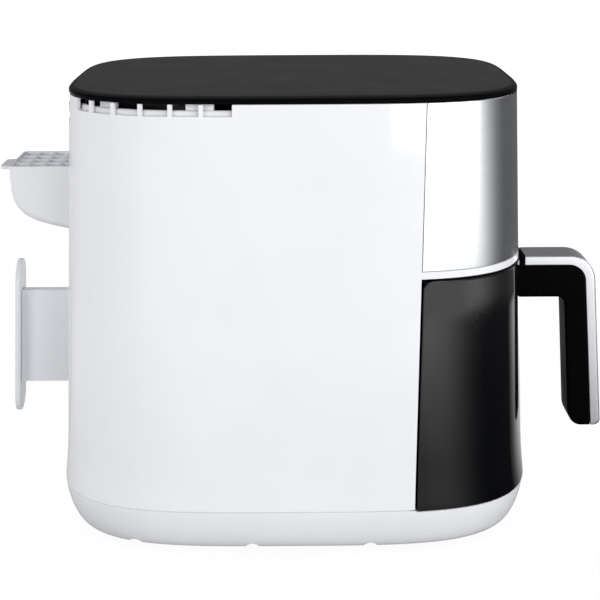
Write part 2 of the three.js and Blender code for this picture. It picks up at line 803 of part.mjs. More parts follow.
function cordWrap() {
  const middle = wrapTop - wrapHeight / 2;
  const webTop = wrapTop - webDrop;
  const web = block(-webHalfWidth, webHalfWidth, 0, wrapReach - wrapFlange / 2, webTop - webHeight, webTop);
  const halfHeight = wrapHeight / 2;
  const plan = roundedRectangle(-wrapHalfWidth, wrapHalfWidth, -halfHeight, halfHeight, wrapHalfWidth - 1);
  const options = { depth: wrapFlange, bevelEnabled: false, curveSegments: 6 };
  const flange = new THREE.ExtrudeGeometry(plan, options);
  flange.rotateX(Math.PI / 2);
  flange.translate(0, wrapFlange, 0);
  flange.rotateX(wrapLean);
  flange.translate(0, wrapReach - wrapFlange, middle);
  const footHalfWidth = webHalfWidth + wrapFootEdge;
  const footPlate = bodySkin(webTop, webTop - webHeight, -gap - wrapFoot, -gap)
    .intersect(block(-footHalfWidth, footHalfWidth, 0, farOut, 0, bodyTop));
  return web.add(solid(flange)).intersect(behindBody()).add(footPlate);
}

function cordGland() {
  const outside = outlineYAt(glandX, glandHeight);
  const [front, rear] = [outside - wall - 2 * glandCollar, outside + glandCollar];
  const along = (radius, y0, y1) => lengthwise(radius, y0, y1, glandX, glandHeight, 16);
  const collar = along(glandRadius + 2, 0, rear).intersect(behindBody());
  return collar.add(along(glandRadius, front, rear - 1)).subtract(along(cordHoleRadius, 0, farOut));
}

// ---------------------------------------------------------------- inside the housing

// Plate that closes the housing behind the drawer front, with the drawer's opening.
function frontFrame() {
  const plate = bodyBetween(drawerTop, seamHeight + gap, wall + gap)
    .intersect(splitSlab(0, wall, seamHeight + gap, drawerTop));
  const [low, high] = [cavityFloor + sheet, panTop + openingHeadroom];
  const opening = roundedRectangle(-cavityHalfWidth, cavityHalfWidth, low, high, openingCornerRadius);
  const switchPort = lengthwise(plungerRadius + 1, -farOut, 0, switchX, switchHeight, 12);
  return plate.subtract(stretchedBack(opening, -farOut, 0)).subtract(switchPort);
}

function cavityOutline(grow) {
  const halfWidth = cavityHalfWidth + grow;
  const rear = cavityRearY + grow;
  return roundedRectangle(-halfWidth, halfWidth, -bodyHalfLength, rear, cavityCornerRadius + grow);
}

// Steel box that the drawer slides into, open to the front and up to the fan.
function cavityLiner() {
  const front = splitAt(cavityFloor) + wall + gap;
  const outer = stretchedUp(cavityOutline(sheet), cavityFloor, roofTop);
  const space = stretchedUp(cavityOutline(0), cavityFloor + sheet, roofHeight);
  const hole = upright(roofHoleRadius, roofHeight - 1, roofTop + 1, 0, fanAxisY, 36);
  return outer.subtract(space).subtract(hole).intersect(block(-farOut, farOut, front, farOut, 0, bodyTop));
}

function rail(side) {
  const inner = side * (panHalfWidth + 2);
  const outer = side * (cavityHalfWidth - gap);
  const [x0, x1] = [inner, outer].sort((a, b) => a - b);
  const top = panTop - panRimThickness - gap;
  const front = splitAt(cavityFloor) + wall + 2;
  const rear = cavityRearY - cavityCornerRadius;
  const side0 = [outer, outer - side * railThickness].sort((a, b) => a - b);
  const runner = block(x0, x1, front, rear, top - railThickness, top);
  return runner.add(block(...side0, front, rear, top - railHeight, top));
}

// Inverted steel dish that holds the hot air over the pan.
function heaterDome() {
  const dish = (radius, low, top) => {
    const shoulder = [[radius, top - domeShoulder], [radius - domeShoulder, top]];
    return turned([[0, low], [radius, low], ...shoulder, [0, top]], 0, fanAxisY, 36);
  };
  const low = roofTop + gap;
  const port = ductOpening(0).intersect(block(-farOut, farOut, fanAxisY, farOut, 0, bodyTop));
  const dome = dish(domeRadius, low, domeTop).subtract(dish(domeRadius - sheet, low - 1, domeTop - sheet));
  return dome.subtract(port).subtract(passages(domeTop - 2 * sheet, domeTop + 1));
}

// A point over the pan at a radius and an angle about the fan's axis.
function aroundFan(radius, degrees, z) {
  const angle = THREE.MathUtils.degToRad(degrees);
  return new THREE.Vector3(radius * Math.cos(angle), fanAxisY + radius * Math.sin(angle), z);
}

function elementEnds() {
  const high = domeTop + elementTailLength;
  return [0, -elementTailStep].map((step) => aroundFan(elementOuter, elementTailAngle + step, high));
}

// Holes for the shaft and for both tails of the heater.
function passages(z0, z1) {
  const tails = elementEnds().map(({ x, y }) => upright(elementRadius + passageGap, z0, z1, x, y));
  return unionOf([upright(shaftRadius + passageGap, z0, z1, 0, fanAxisY), ...tails]);
}

// Spiral tube heater: both tails rise through the dome at its outer edge.
function heatingElement() {
  const [firstEnd, lastEnd] = elementEnds();
  const level = roofTop + elementLift;
  const sweep = 360 * elementTurns - elementTailStep;
  const points = [firstEnd, aroundFan(elementOuter, elementTailAngle, level + 4 * elementRadius)];
  const stops = Math.ceil(sweep / 24);
  for (let i = 1; i <= stops; i++) {
    const radius = THREE.MathUtils.lerp(elementOuter, elementInner, i / stops);
    points.push(aroundFan(radius, elementTailAngle + (sweep * i) / stops, level));
  }
  const returnAngle = elementTailAngle - elementTailStep;
  points.push(aroundFan(elementInner + 3 * elementRadius, returnAngle + 3, level - elementDip));
  points.push(aroundFan(elementOuter - 2 * elementRadius, returnAngle, level - elementDip));
  points.push(aroundFan(elementOuter, returnAngle, level), lastEnd);
  const section = new THREE.Shape();
  section.absarc(0, 0, elementRadius, 0, 2 * Math.PI);
  const path = new THREE.CatmullRomCurve3(points, false, 'centripetal');
  return solid(new THREE.ExtrudeGeometry(section, {
    steps: 58, extrudePath: path, curveSegments: 3, bevelEnabled: false,
  }));
}

// Flat guard under the heater, lying in the roof's hole.
function elementGuard() {
  const z0 = roofHeight - guardThickness;
  const outer = roofHoleRadius - 1;
  const inner = outer - guardRingWidth;
  const section = [[inner, z0], [outer, z0], [outer, roofTop], [inner, roofTop], [inner, z0]];
  const ring = turned(section, 0, fanAxisY, 24);
  const bars = [];
  const count = Math.floor(outer / guardBarPitch);
  for (let i = -count; i <= count; i++) {
    const offset = i * guardBarPitch;
    const half = Math.sqrt((outer - 1) ** 2 - offset ** 2);
    const [low, high] = [offset - guardBar / 2, offset + guardBar / 2];
    bars.push(block(low, high, fanAxisY - half, fanAxisY + half, z0 + 0.2, z0 + guardBar));
    bars.push(block(-half, half, fanAxisY + low, fanAxisY + high, z0 + guardBar / 2, z0 + guardThickness));
  }
  return unionOf([ring, ...bars]);
}

function bladeRing(count, inner, outer, z0, z1, slant) {
  const blades = [];
  for (let i = 0; i < count; i++) {
    const geometry = new THREE.BoxGeometry(outer - inner, sheet, z1 - z0);
    geometry.rotateZ(slant);
    geometry.translate((inner + outer) / 2, 0, 0);
    geometry.rotateZ((i * 2 * Math.PI) / count);
    geometry.translate(0, fanAxisY, (z0 + z1) / 2);
    blades.push(solid(geometry));
  }
  return unionOf(blades);
}

function hotAirFan() {
  const low = roofTop + fanLift;
  const high = low + fanBladeHeight;
  const disc = upright(fanRadius, high - sheet, high, 0, fanAxisY, 32);
  const hub = upright(fanHubRadius, low, high - sheet / 2, 0, fanAxisY, 24);
  const blades = bladeRing(fanBladeCount, fanHubRadius - 1, fanRadius - 1, low, high - sheet / 2, 0.25);
  return unionOf([disc, hub, blades]).subtract(upright(shaftRadius + gap, low - 1, high + 1, 0, fanAxisY));
}

function coolingFan() {
  const low = motorTop + coolingFanLift;
  const high = low + coolingBladeHeight;
  const disc = upright(coolingFanRadius, low, low + sheet, 0, fanAxisY, 32);
  const hub = upright(fanHubRadius, low, high, 0, fanAxisY, 24);
  const root = fanHubRadius - 1;
  const blades = bladeRing(coolingBladeCount, root, coolingFanRadius - 1, low + sheet / 2, high, 0.3);
  return unionOf([disc, hub, blades]).subtract(upright(shaftRadius + gap, low - 1, high + 1, 0, fanAxisY));
}

function motorShaft() {
  const top = motorTop + coolingFanLift + coolingBladeHeight;
  return upright(shaftRadius, roofTop + fanLift - shaftEnd, top + coolingFanLift, 0, fanAxisY);
}

function fanNut() {
  const high = roofTop + fanLift - gap;
  const low = high - nutHeight;
  return upright(nutRadius, low, high, 0, fanAxisY, 6).subtract(
    upright(shaftRadius + gap, low - 1, high + 1, 0, fanAxisY),
  );
}

function heatShield() {
  const top = shieldBottom + sheet;
  const plate = upright(shieldRadius, shieldBottom, top, 0, fanAxisY, 30);
  return plate.subtract(passages(shieldBottom - 1, top + 1));
}

// Bridge over the heat shield that carries the motor.
function motorBracket() {
  const top = bracketBottom + sheet;
  const low = shieldBottom + sheet + gap;
  const [y0, y1] = [fanAxisY - bracketHalfWidth, fanAxisY + bracketHalfWidth];
  const whole = block(-bracketHalfSpan, bracketHalfSpan, y0, y1, low, top);
  const inside = bracketHalfSpan - sheet;
  const space = block(-inside, inside, y0 - 1, y1 + 1, low - 1, bracketBottom);
  return whole.subtract(space).subtract(upright(shaftRadius + passageGap, low, top + 1, 0, fanAxisY));
}

function motor() {
  const shoulder = motorRadius - motorCap;
  const lower = [[0, motorBottom], [shoulder, motorBottom], [motorRadius, motorBottom + motorCap]];
  const upper = [[motorRadius, motorTop - motorCap], [shoulder, motorTop], [0, motorTop]];
  const bore = upright(shaftRadius + shaftBearingGap, motorBottom - 1, motorTop + 1, 0, fanAxisY);
  return turned([...lower, ...upper], 0, fanAxisY, 24).subtract(bore);
}

// ---------------------------------------------------------------- electrical pieces

function controlBoard() {
  const top = bodyTop - touchDrop;
  const outside = bodyHalfSizes(top).halfLength - glassThickness - controlBoardGap;
  const halfWidth = touchHalfWidth - 4;
  return block(
    -halfWidth, halfWidth, -outside, -outside + boardThickness, top - touchHeight + 2, top - 2,
  );
}

// Board with its relay, transformer and capacitor, on two stand-offs.
function powerBoard() {
  const [low, high] = [powerBoardBottom, powerBoardBottom + powerBoardHeight];
  const [front, rear] = [powerBoardY, powerBoardY + boardThickness];
  const board = block(-powerBoardHalfWidth, powerBoardHalfWidth, front, rear, low, high);
  const solder = front + boardThickness / 2;
  const margin = capacitorRadius + 2;
  const mounted = (x, size) => {
    return block(x, x + size, front - 0.75 * size, solder, low + margin, low + margin + size);
  };
  const relay = mounted(-2 * relaySize, relaySize);
  const core = mounted(margin, transformerSize);
  const [canX, canZ] = [margin - powerBoardHalfWidth, high - margin];
  const capacitor = lengthwise(capacitorRadius, front - capacitorHeight, solder, canX, canZ, 12);
  const postBottom = drawerTop + gap + wall + gap;
  const postX = powerBoardHalfWidth - 2 * standOffRadius;
  const posts = [-postX, postX].map((x) => upright(standOffRadius, postBottom, low + 1, x, solder, 8));
  return unionOf([board, relay, core, capacitor, ...posts]);
}

function thermalCutout() {
  const seat = shieldBottom + sheet + gap;
  const [x, y] = [cutoutX, fanAxisY - cutoutFront];
  const tabs = block(x - 4, x + 4, y - 1, y + 1, seat + cutoutHeight - 1, seat + 2 * cutoutHeight);
  return upright(cutoutRadius, seat, seat + cutoutHeight, x, y).add(tabs);
}

// Probe on the roof of the cooking space, beside the dome.
function temperatureSensor() {
  const [x, y] = [-roofHoleRadius - sensorOffset, fanAxisY - sensorFront];
  const seat = roofTop + gap;
  const cap = upright(sensorRadius, seat, seat + 4, x, y);
  return cap.add(upright(sensorRadius / 3, seat + 3, seat + sensorHeight, x, y, 8));
}

function drawerSwitch() {
  const front = splitAt(switchHeight) + wall + gap;
  const [x0, x1] = [switchX - switchHalfWidth, switchX + switchHalfWidth];
  const [z0, z1] = [switchHeight - switchHalfHeight, switchHeight + switchHalfHeight];
  const bore = lengthwise(plungerRadius + gap, front - 1, front + plungerBore, switchX, switchHeight, 12);
  return block(x0, x1, front, front + switchDepth, z0, z1).subtract(bore);
}

function switchPlunger() {
  const front = splitAt(switchHeight);
  const rear = front + wall + gap + plungerBore - plungerTravel - 1;
  return lengthwise(plungerRadius, front - runningGap + 2 * gap, rear, switchX, switchHeight, 12);
}

// ---------------------------------------------------------------- drawer

// Side outline of the drawer front, with its rounded upper rear corner.
function drawerSide(shift, z0, z1, radius) {
  const corner = splitAt(z1) + shift;
  const shape = new THREE.Shape();
  shape.moveTo(-farOut, z0);
  shape.lineTo(splitAt(z0) + shift, z0);
  shape.lineTo(splitAt(z1 - radius) + shift, z1 - radius);
  shape.quadraticCurveTo(corner, z1, corner - radius, z1);
  shape.lineTo(-farOut, z1);
  return shape;
}

function drawerFront() {
  const [low, high] = [drawerBottom, drawerTop - runningGap];
  const side = sideways(drawerSide(-runningGap, low, high, drawerCornerRadius), -farOut, farOut);
  const outer = bodyBetween(high, low, -drawerProud).intersect(side);
  const hollow = bodyBetween(high - drawerWall, low + drawerWall, drawerWall);
  return outer.subtract(hollow).subtract(handleScrewHoles(screwShankRadius + 1));
}

// Holes for both handle screws, from the front back to the split.
function handleScrewHoles(radius) {
  return unionOf(handleScrewHeights().map((z) => lengthwise(radius, -farOut, splitAtTop - wall, 0, z, 12)));
}

// Inner plate of the drawer front, facing the housing.
function drawerBack() {
  const low = drawerBottom + drawerWall + gap;
  const high = drawerTop - runningGap - drawerWall - gap;
  const slab = splitSlab(-runningGap - wall, -runningGap, low, high);
  return bodyBetween(high, low, drawerWall + gap).intersect(slab);
}

// Steel strap behind the drawer front that the handle is screwed to.
function handleBracket() {
  const [low, high] = [handleTop - neckHeight - strapMargin, handleTop + strapMargin];
  const front = handleStrapFront();
  const rear = splitAt(high) - runningGap - wall - gap;
  const [outside, inside] = [strapHalfWidth, strapHalfWidth - strapThickness];
  const whole = block(-outside, outside, front, rear, low, high);
  const space = block(-inside, inside, front + strapThickness, rear + 1, low - 1, high + 1);
  return whole.subtract(space).subtract(handleScrewHoles(screwShankRadius + gap));
}

function handleStrapFront() {
  return -bodyHalfSizes(handleTop).halfLength + drawerWall + strapSetback;
}

function handleScrewHeights() {
  return [handleTop - trimThickness - 5, handleTop - neckHeight + 6];
}

function handleScrew() {
  const seat = handleStrapFront() + strapThickness + gap;
  const shank = lengthwise(screwShankRadius, seat - handleScrewLength, seat + 1, 0, 0, 12);
  return shank.add(lengthwise(screwHeadRadius, seat, seat + screwHeadHeight, 0, 0, 12));
}

function panOutline(grow) {
  const front = panFrontY - grow;
  return roundedRectangle(
    -panHalfWidth - grow, panHalfWidth + grow, front, panRearY + grow, panCornerRadius + grow,
  );
}

function drawerPan() {
  const tub = stretchedUp(panOutline(0), panBottom, panTop);
  const inside = stretchedUp(panOutline(-panWall), panBottom + panWall, panTop + 1);
  const [halfWidth, rear] = [panHalfWidth + panRim, panRearY + panRim / 2];
  const rimOutline = roundedRectangle(-halfWidth, halfWidth, panFrontY, rear, panCornerRadius);
  const rim = stretchedUp(rimOutline, panTop - panRimThickness, panTop);
  return tub.add(rim).subtract(inside);
}

// Perforated plate that food lies on.
function crisperPlate() {
  const z0 = panBottom + panWall + plateLift;
  let plate = stretchedUp(panOutline(-panWall - plateClearance), z0, z0 + plateThickness);
  const middle = (panFrontY + panRearY) / 2;
  const [acrossPitch, alongPitch] = [plateSlotLength + plateSlotGap, plateSlotWidth + plateSlotGap];
  const across = Math.floor((panHalfWidth - panCornerRadius - plateSlotLength / 2) / acrossPitch);
  const along = Math.floor(((panRearY - panFrontY) / 2 - panCornerRadius) / alongPitch);
  for (let i = -across; i <= across; i++) {
    for (let j = -along; j <= along; j++) {
      const [x, y] = [i * acrossPitch - plateSlotLength / 2, middle + j * alongPitch - plateSlotWidth / 2];
      const [x1, y1] = [x + plateSlotLength, y + plateSlotWidth];
      plate = plate.subtract(block(x, x1, y, y1, z0 - 1, z0 + 2 * plateThickness));
    }
  }
  for (const [x, y] of bumperPlaces()) {
    plate = plate.subtract(upright(bumperNeck + gap, z0 - 1, z0 + 2 * plateThickness, x, y, 12));
  }
  return plate;
}

function bumperPlaces() {
  const x = panHalfWidth - bumperInset;
  return [-x, x].flatMap((place) => [[place, panFrontY + bumperInset], [place, panRearY - bumperInset]]);
}

// Silicone foot that keeps the plate off the pan.
function plateBumper() {
  const low = panBottom + panWall + gap;
  const seat = panBottom + panWall + plateLift - gap;
  const top = seat + plateThickness + 2 * gap;
  const profile = [[0, low], [bumperRadius, low], [bumperRadius, seat], [bumperNeck, seat]];
  profile.push([bumperNeck, top], [bumperRadius - gap, top], [0, top + bumperNeck / 2]);
  return turned(profile, 0, 0, 10);
}

// ---------------------------------------------------------------- handle

// Outer face of the handle: it leans away from the drawer towards the floor.
function handleFace(z) {
  return -handleReach - handleLean * (handleTop - handleCornerRadius - z);
}

// Side outline of the whole handle, drawn in by inset along the top and the outer face.
function handleOutline(inset) {
  const top = handleTop - inset;
  const face = (z) => handleFace(z) + inset;
  const radius = handleCornerRadius - inset;
  const wallY = (z) => -bodyHalfSizes(z).halfLength - drawerProud - gap;
  const inner = (z) => handleFace(z) + handleDepth;
  const neckBottom = handleTop - neckHeight;
  const low = handleBottom;
  const shape = new THREE.Shape();
  shape.moveTo(wallY(neckBottom), neckBottom);
  shape.lineTo(inner(neckBottom) + neckInnerRadius, neckBottom);
  shape.quadraticCurveTo(inner(neckBottom), neckBottom, inner(neckBottom), neckBottom - neckInnerRadius);
  shape.lineTo(inner(low + handleTipRadius), low + handleTipRadius);
  shape.quadraticCurveTo(inner(low), low, inner(low) - handleTipRadius * 0.8, low);
  shape.lineTo(face(low), low);
  shape.lineTo(face(top - radius), top - radius);
  shape.quadraticCurveTo(face(top - radius / 4) + 0.08 * radius, top - radius / 8, face(top) + radius, top);
  shape.lineTo(wallY(handleTop), top);
  return shape;
}

function handleGrip() {
  const whole = sideways(handleOutline(0), -handleHalfWidth, handleHalfWidth);
  const core = sideways(handleOutline(trimThickness + gap), -handleHalfWidth, handleHalfWidth);
  const collar = whole.intersect(block(-farOut, farOut, -trimStartY + gap, 0, 0, bodyTop));
  const blind = block(-farOut, farOut, handleStrapFront() - handleScrewLength, 0, 0, bodyTop);
  return core.add(collar).subtract(handleScrewHoles(screwShankRadius + gap).intersect(blind));
}

function handleTrim() {
  const whole = sideways(handleOutline(0), -handleHalfWidth, handleHalfWidth);
  const core = sideways(handleOutline(trimThickness), -handleHalfWidth - 1, handleHalfWidth + 1);
  return whole.subtract(core).intersect(block(-farOut, farOut, -farOut, -trimStartY, 0, bodyTop));
}

// ---------------------------------------------------------------- assembly

const machine = new THREE.Group();
for (const [x, y] of footPlaces()) {
  const name = `foot_${y < 0 ? 'front' : 'rear'}_${x < 0 ? 'left' : 'right'}`;
  piece(machine, name, foot(), rubber, [x, y, 0]);
}
for (const [x, y] of screwPlaces()) {
  const name = `base_screw_${y < 0 ? 'front' : 'rear'}_${x < 0 ? 'left' : 'right'}`;
  piece(machine, name, baseScrew(), plainSteel, [x, y, 0]);
}
piece(machine, 'base_tray', baseTray(), whitePlastic);
piece(machine, 'housing_shell', housingShell(), whitePlastic);
piece(machine, 'top_lid', topLid(), blackSatin);
piece(machine, 'steel_face', steelFace(), brushedSteel);
piece(machine, 'touch_panel', touchPanel(), glass);
piece(machine, 'rear_grille', rearGrille(), blackMatt);
piece(machine, 'outlet_hood', outletHood(), whitePlastic);
piece(machine, 'outlet_grid', outletGrid(), whitePlastic);
piece(machine, 'exhaust_duct', exhaustDuct(), aluminium);
piece(machine, 'cord_wrap', cordWrap(), whitePlastic);
piece(machine, 'cord_gland', cordGland(), blackMatt);
piece(machine, 'front_frame', frontFrame(), blackMatt);
piece(machine, 'cavity_liner', cavityLiner(), aluminium);
piece(machine, 'rail_left', rail(-1), plainSteel);
piece(machine, 'rail_right', rail(1), plainSteel);
piece(machine, 'heater_dome', heaterDome(), aluminium);
piece(machine, 'heating_element', heatingElement(), plainSteel);
piece(machine, 'element_guard', elementGuard(), plainSteel);
piece(machine, 'heat_shield', heatShield(), aluminium);
piece(machine, 'motor_bracket', motorBracket(), plainSteel);
piece(machine, 'motor', motor(), copperWinding);
piece(machine, 'control_board', controlBoard(), boardGreen);
piece(machine, 'power_board', powerBoard(), boardGreen);
piece(machine, 'thermal_cutout', thermalCutout(), plainSteel);
piece(machine, 'temperature_sensor', temperatureSensor(), plainSteel);
piece(machine, 'drawer_switch', drawerSwitch(), blackMatt);

const plunger = new THREE.Group();
piece(plunger, 'switch_plunger', switchPlunger(), whitePlastic);

const rotor = new THREE.Group();
piece(rotor, 'motor_shaft', motorShaft(), plainSteel);
piece(rotor, 'hot_air_fan', hotAirFan(), aluminium);
piece(rotor, 'fan_nut', fanNut(), plainSteel);
piece(rotor, 'cooling_fan', coolingFan(), blackMatt);

const drawer = new THREE.Group();
piece(drawer, 'drawer_front', drawerFront(), blackGloss);
piece(drawer, 'drawer_back', drawerBack(), blackMatt);
piece(drawer, 'handle_bracket', handleBracket(), plainSteel);
piece(drawer, 'handle_grip', handleGrip(), blackMatt);
piece(drawer, 'handle_trim', handleTrim(), silver);
for (const [index, z] of handleScrewHeights().entries()) {
  piece(drawer, `handle_screw_${index + 1}`, handleScrew(), plainSteel, [0, 0, z]);
}
piece(drawer, 'drawer_pan', drawerPan(), nonStick);

const crisper = new THREE.Group();
piece(crisper, 'crisper_plate', crisperPlate(), nonStick);
for (const [index, [x, y]] of bumperPlaces().entries()) {
  piece(crisper, `plate_bumper_${index + 1}`, plateBumper(), rubber, [x, y, 0]);
}
drawer.add(crisper);

// The origin is under the middle of the whole object, handle and hood included.
const frontReach = -handleFace(handleBottom);
const rearReach = hoodReach + tabReach;
fryer.add(machine, plunger, rotor, drawer);
for (const part of fryer.children) part.position.y = (frontReach - rearReach) / 2;

export default fryer;
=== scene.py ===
"""Looks of the basket air fryer: fine shells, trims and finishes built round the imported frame.

Shapes are worked out in millimetres, with Y measured from the body's middle and Z from the floor,
and each finished piece is placed in the frame in metres.
"""

import json
import math
from collections import namedtuple

import bmesh
import bpy
import numpy as np
from mathutils import Matrix, Vector
from mathutils.geometry import interpolate_bezier

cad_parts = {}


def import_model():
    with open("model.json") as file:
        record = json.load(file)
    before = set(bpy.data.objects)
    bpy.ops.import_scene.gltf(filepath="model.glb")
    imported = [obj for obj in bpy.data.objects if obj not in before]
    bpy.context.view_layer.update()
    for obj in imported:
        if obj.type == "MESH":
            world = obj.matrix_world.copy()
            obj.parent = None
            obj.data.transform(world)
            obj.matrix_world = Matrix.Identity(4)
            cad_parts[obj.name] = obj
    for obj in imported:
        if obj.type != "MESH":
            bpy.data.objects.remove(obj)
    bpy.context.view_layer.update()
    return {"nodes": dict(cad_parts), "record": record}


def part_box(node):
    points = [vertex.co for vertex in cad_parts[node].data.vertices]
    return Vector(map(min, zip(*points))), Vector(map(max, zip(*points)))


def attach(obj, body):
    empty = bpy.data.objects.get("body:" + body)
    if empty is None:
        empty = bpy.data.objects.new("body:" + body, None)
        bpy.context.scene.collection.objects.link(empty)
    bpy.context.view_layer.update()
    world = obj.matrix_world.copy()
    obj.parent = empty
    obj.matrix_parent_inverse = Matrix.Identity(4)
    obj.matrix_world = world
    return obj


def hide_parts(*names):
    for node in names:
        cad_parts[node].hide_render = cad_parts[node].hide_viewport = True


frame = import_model()

MM = 0.001
TURN = 2 * math.pi
QUARTER = math.pi / 2

# ---- sizes read from the frame ----

lid_low, lid_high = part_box("top_lid")
MIDDLE_Y = (lid_low.y + lid_high.y) / 2
PLACE = Matrix.Translation((0, MIDDLE_Y, 0)) @ Matrix.Scale(MM, 4)


def span(name):
    """Lowest and highest corner of a frame node, in millimetres from the body's middle."""
    shift = Vector((0, MIDDLE_Y, 0))
    return [(corner - shift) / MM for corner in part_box(name)]


def heights(name):
    return [corner.z for corner in span(name)]


def centre_of(name):
    low, high = span(name)
    return (low + high) / 2


# ---- sizes of the body ----

GAP = 0.3  # between pieces that touch
SEAM_GAP = 0.15  # between the wall and the base
RUNNING_GAP = 1.2  # round the drawer front
WALL = 2.5  # moulded plastic
LID_OVERHANG = 0.5
SQUARENESS = 3.85  # power of the body's rounded square plan
SIDE_DRAFT = 4.8  # growth of each side from the lid down to the seam
END_DRAFT = 9.5
TOP_SHORTENING = 0.5  # the body's ends start this far inside the lid's
REAR_SHIFT = (0.5, 0.7)  # the outline sits this far back at the lid, and this much more at the seam
FLARE_OUT = 1.4  # last kick outwards above the seam
FLARE_HEIGHT = 32
BASE_TUCK = 11  # the base's lower edge is drawn in this far
BASE_ROUNDNESS = 1.6
CHIN_DROP = 1.2  # step down under the drawer front
STEEL_HEIGHT = 110
STEEL_THICKNESS = 0.9
BAND_HEIGHT = 5
SPLIT_AT_LID = -84.5  # where the front pieces begin
SPLIT_LEAN = 0.0187
FLARE_RINGS = (37, 41, 46, 52, 58, 65, 100, 145)  # heights of the rings that follow the flare

HALF_WIDTH = span("top_lid")[1].x - LID_OVERHANG
HALF_LENGTH = span("top_lid")[1].y - LID_OVERHANG
BODY_TOP = heights("housing_shell")[1]
RIM, SEAM = heights("base_tray")
LID_TOP = heights("top_lid")[1]
STEEL_BOTTOM = BODY_TOP - STEEL_HEIGHT
BAND_BOTTOM = STEEL_BOTTOM - BAND_HEIGHT


def held(share):
    return min(max(share, 0), 1)


def drop(z):
    """0 at the lid and 1 at the seam with the base."""
    return held((BODY_TOP - z) / (BODY_TOP - SEAM))


def half_sizes(z):
    kick = FLARE_OUT * held(1 - (z - SEAM) / FLARE_HEIGHT) ** 2
    length = HALF_LENGTH - TOP_SHORTENING + END_DRAFT * drop(z) + kick
    return HALF_WIDTH + SIDE_DRAFT * drop(z) + kick, length


def middle(z):
    return REAR_SHIFT[0] + REAR_SHIFT[1] * drop(z)


def rounded_power(value):
    return math.copysign(abs(value) ** (2 / SQUARENESS), value)


def on_outline(angle, z, inset=0.0):
    """The body's outline at an angle and a height, drawn in by inset."""
    width, length = half_sizes(z)
    across = rounded_power(math.cos(angle)) * (width - inset)
    return Vector((across, middle(z) + rounded_power(math.sin(angle)) * (length - inset), z))


def side_angle(y, z):
    """Angle at which the left side reaches y."""
    share = min(abs(y - middle(z)) / half_sizes(z)[1], 1)
    return math.pi - math.copysign(math.asin(share ** (SQUARENESS / 2)), y - middle(z))


def rear_angle(x, z):
    """Angle at which the rear reaches -x, on the left."""
    return QUARTER + math.asin((abs(x) / half_sizes(z)[0]) ** (SQUARENESS / 2))


def front_angle(x, z):
    return TURN - rear_angle(x, z)


def side_x(y, z):
    """Half width of the body at y."""
    width, length = half_sizes(z)
    return width * (1 - (abs(y - middle(z)) / length) ** SQUARENESS) ** (1 / SQUARENESS)


def end_y(x, z, side, inset=0.0):
    """Y of the rear wall, side 1, or of the front, side -1, at x."""
    width, length = half_sizes(z)
    share = (1 - (abs(x) / (width - inset)) ** SQUARENESS) ** (1 / SQUARENESS)
    return middle(z) + side * (length - inset) * share


def split_at(z):
    return SPLIT_AT_LID + SPLIT_LEAN * (BODY_TOP - z)


# ---- columns round the body ----

STEPS_PER_QUARTER = 38
REAR_MIDDLE, FRONT_MIDDLE = QUARTER, 3 * QUARTER
COLUMN_ROOM = 1.5  # no even column stands closer than this to a wanted one


def even_columns():
    """Angles from the rear middle round the left side to the front middle, nearly evenly spaced."""
    shares = [step / STEPS_PER_QUARTER for step in range(STEPS_PER_QUARTER)]
    eased = [t * t / (t * t + (1 - t) ** 2) for t in shares]
    turns = [quarter + share for quarter in (0, 1) for share in eased]
    return [REAR_MIDDLE + turn * QUARTER for turn in turns] + [FRONT_MIDDLE]


EVEN_COLUMNS = even_columns()
MEASURED = np.array([on_outline(angle, BODY_TOP) for angle in EVEN_COLUMNS])
TRAVELLED = np.concatenate([[0], np.cumsum(np.linalg.norm(np.diff(MEASURED, axis=0), axis=1))])


def columns_with(*wanted):
    """The even columns with some angles that have to be among them."""
    travelled = [float(np.interp(angle, EVEN_COLUMNS, TRAVELLED)) for angle in wanted]
    kept = [
        angle for angle, place in zip(EVEN_COLUMNS[1:-1], TRAVELLED[1:-1])
        if all(abs(place - other) > COLUMN_ROOM for other in travelled)
    ]
    return sorted({REAR_MIDDLE, *kept, *wanted, FRONT_MIDDLE})


def columns_from(first, *wanted, last=FRONT_MIDDLE):
    """The columns from one angle round to another, with others that have to be among them."""
    return [angle for angle in columns_with(first, *wanted) if first <= angle <= last]


def angle_at(y_from, run):
    """Angle reached from a point y_from of the left side after a run towards the rear."""
    start = float(np.interp(side_angle(y_from, BODY_TOP), EVEN_COLUMNS, TRAVELLED))
    return float(np.interp(start - run, TRAVELLED, EVEN_COLUMNS))


def both_sides(columns):
    """Columns of the left half carried on over the right half."""
    return columns + [2 * FRONT_MIDDLE - angle for angle in reversed(columns[:-1])]


def on_side(columns, side):
    return columns if side == "left" else [math.pi - angle for angle in columns]


# ---- shaping tools ----

MERGE = 1e-3
INSIDE = (0, 0, 150)  # a point well inside the body


def sheet_of(columns, rows, place, keep=None):
    """A grid whose vertices go where place(column, row) says, in millimetres.

    keep(i, j) says whether the face between columns i and i + 1 and rows j and j + 1 stays.
    """
    bm = bmesh.new()
    across, up = len(columns) - 1, len(rows) - 1
    bmesh.ops.create_grid(bm, x_segments=across, y_segments=up, size=0.5)

    def cell(point):
        return (point.x + 0.5) * across, (point.y + 0.5) * up

    if keep:
        dropped = [f for f in bm.faces if not keep(*map(int, cell(f.calc_center_median())))]
        bmesh.ops.delete(bm, geom=dropped, context="FACES")
    for vertex in bm.verts:
        i, j = map(round, cell(vertex.co))
        vertex.co = place(columns[i], rows[j])
    return bm


def merge(bm, distance=MERGE):
    bmesh.ops.remove_doubles(bm, verts=bm.verts, dist=distance)


def close(bm):
    """Merges what meets, fills open rings and points the faces outwards."""
    merge(bm)
    bmesh.ops.holes_fill(bm, edges=bm.edges, sides=0)
    bmesh.ops.recalc_face_normals(bm, faces=bm.faces)
    return bm


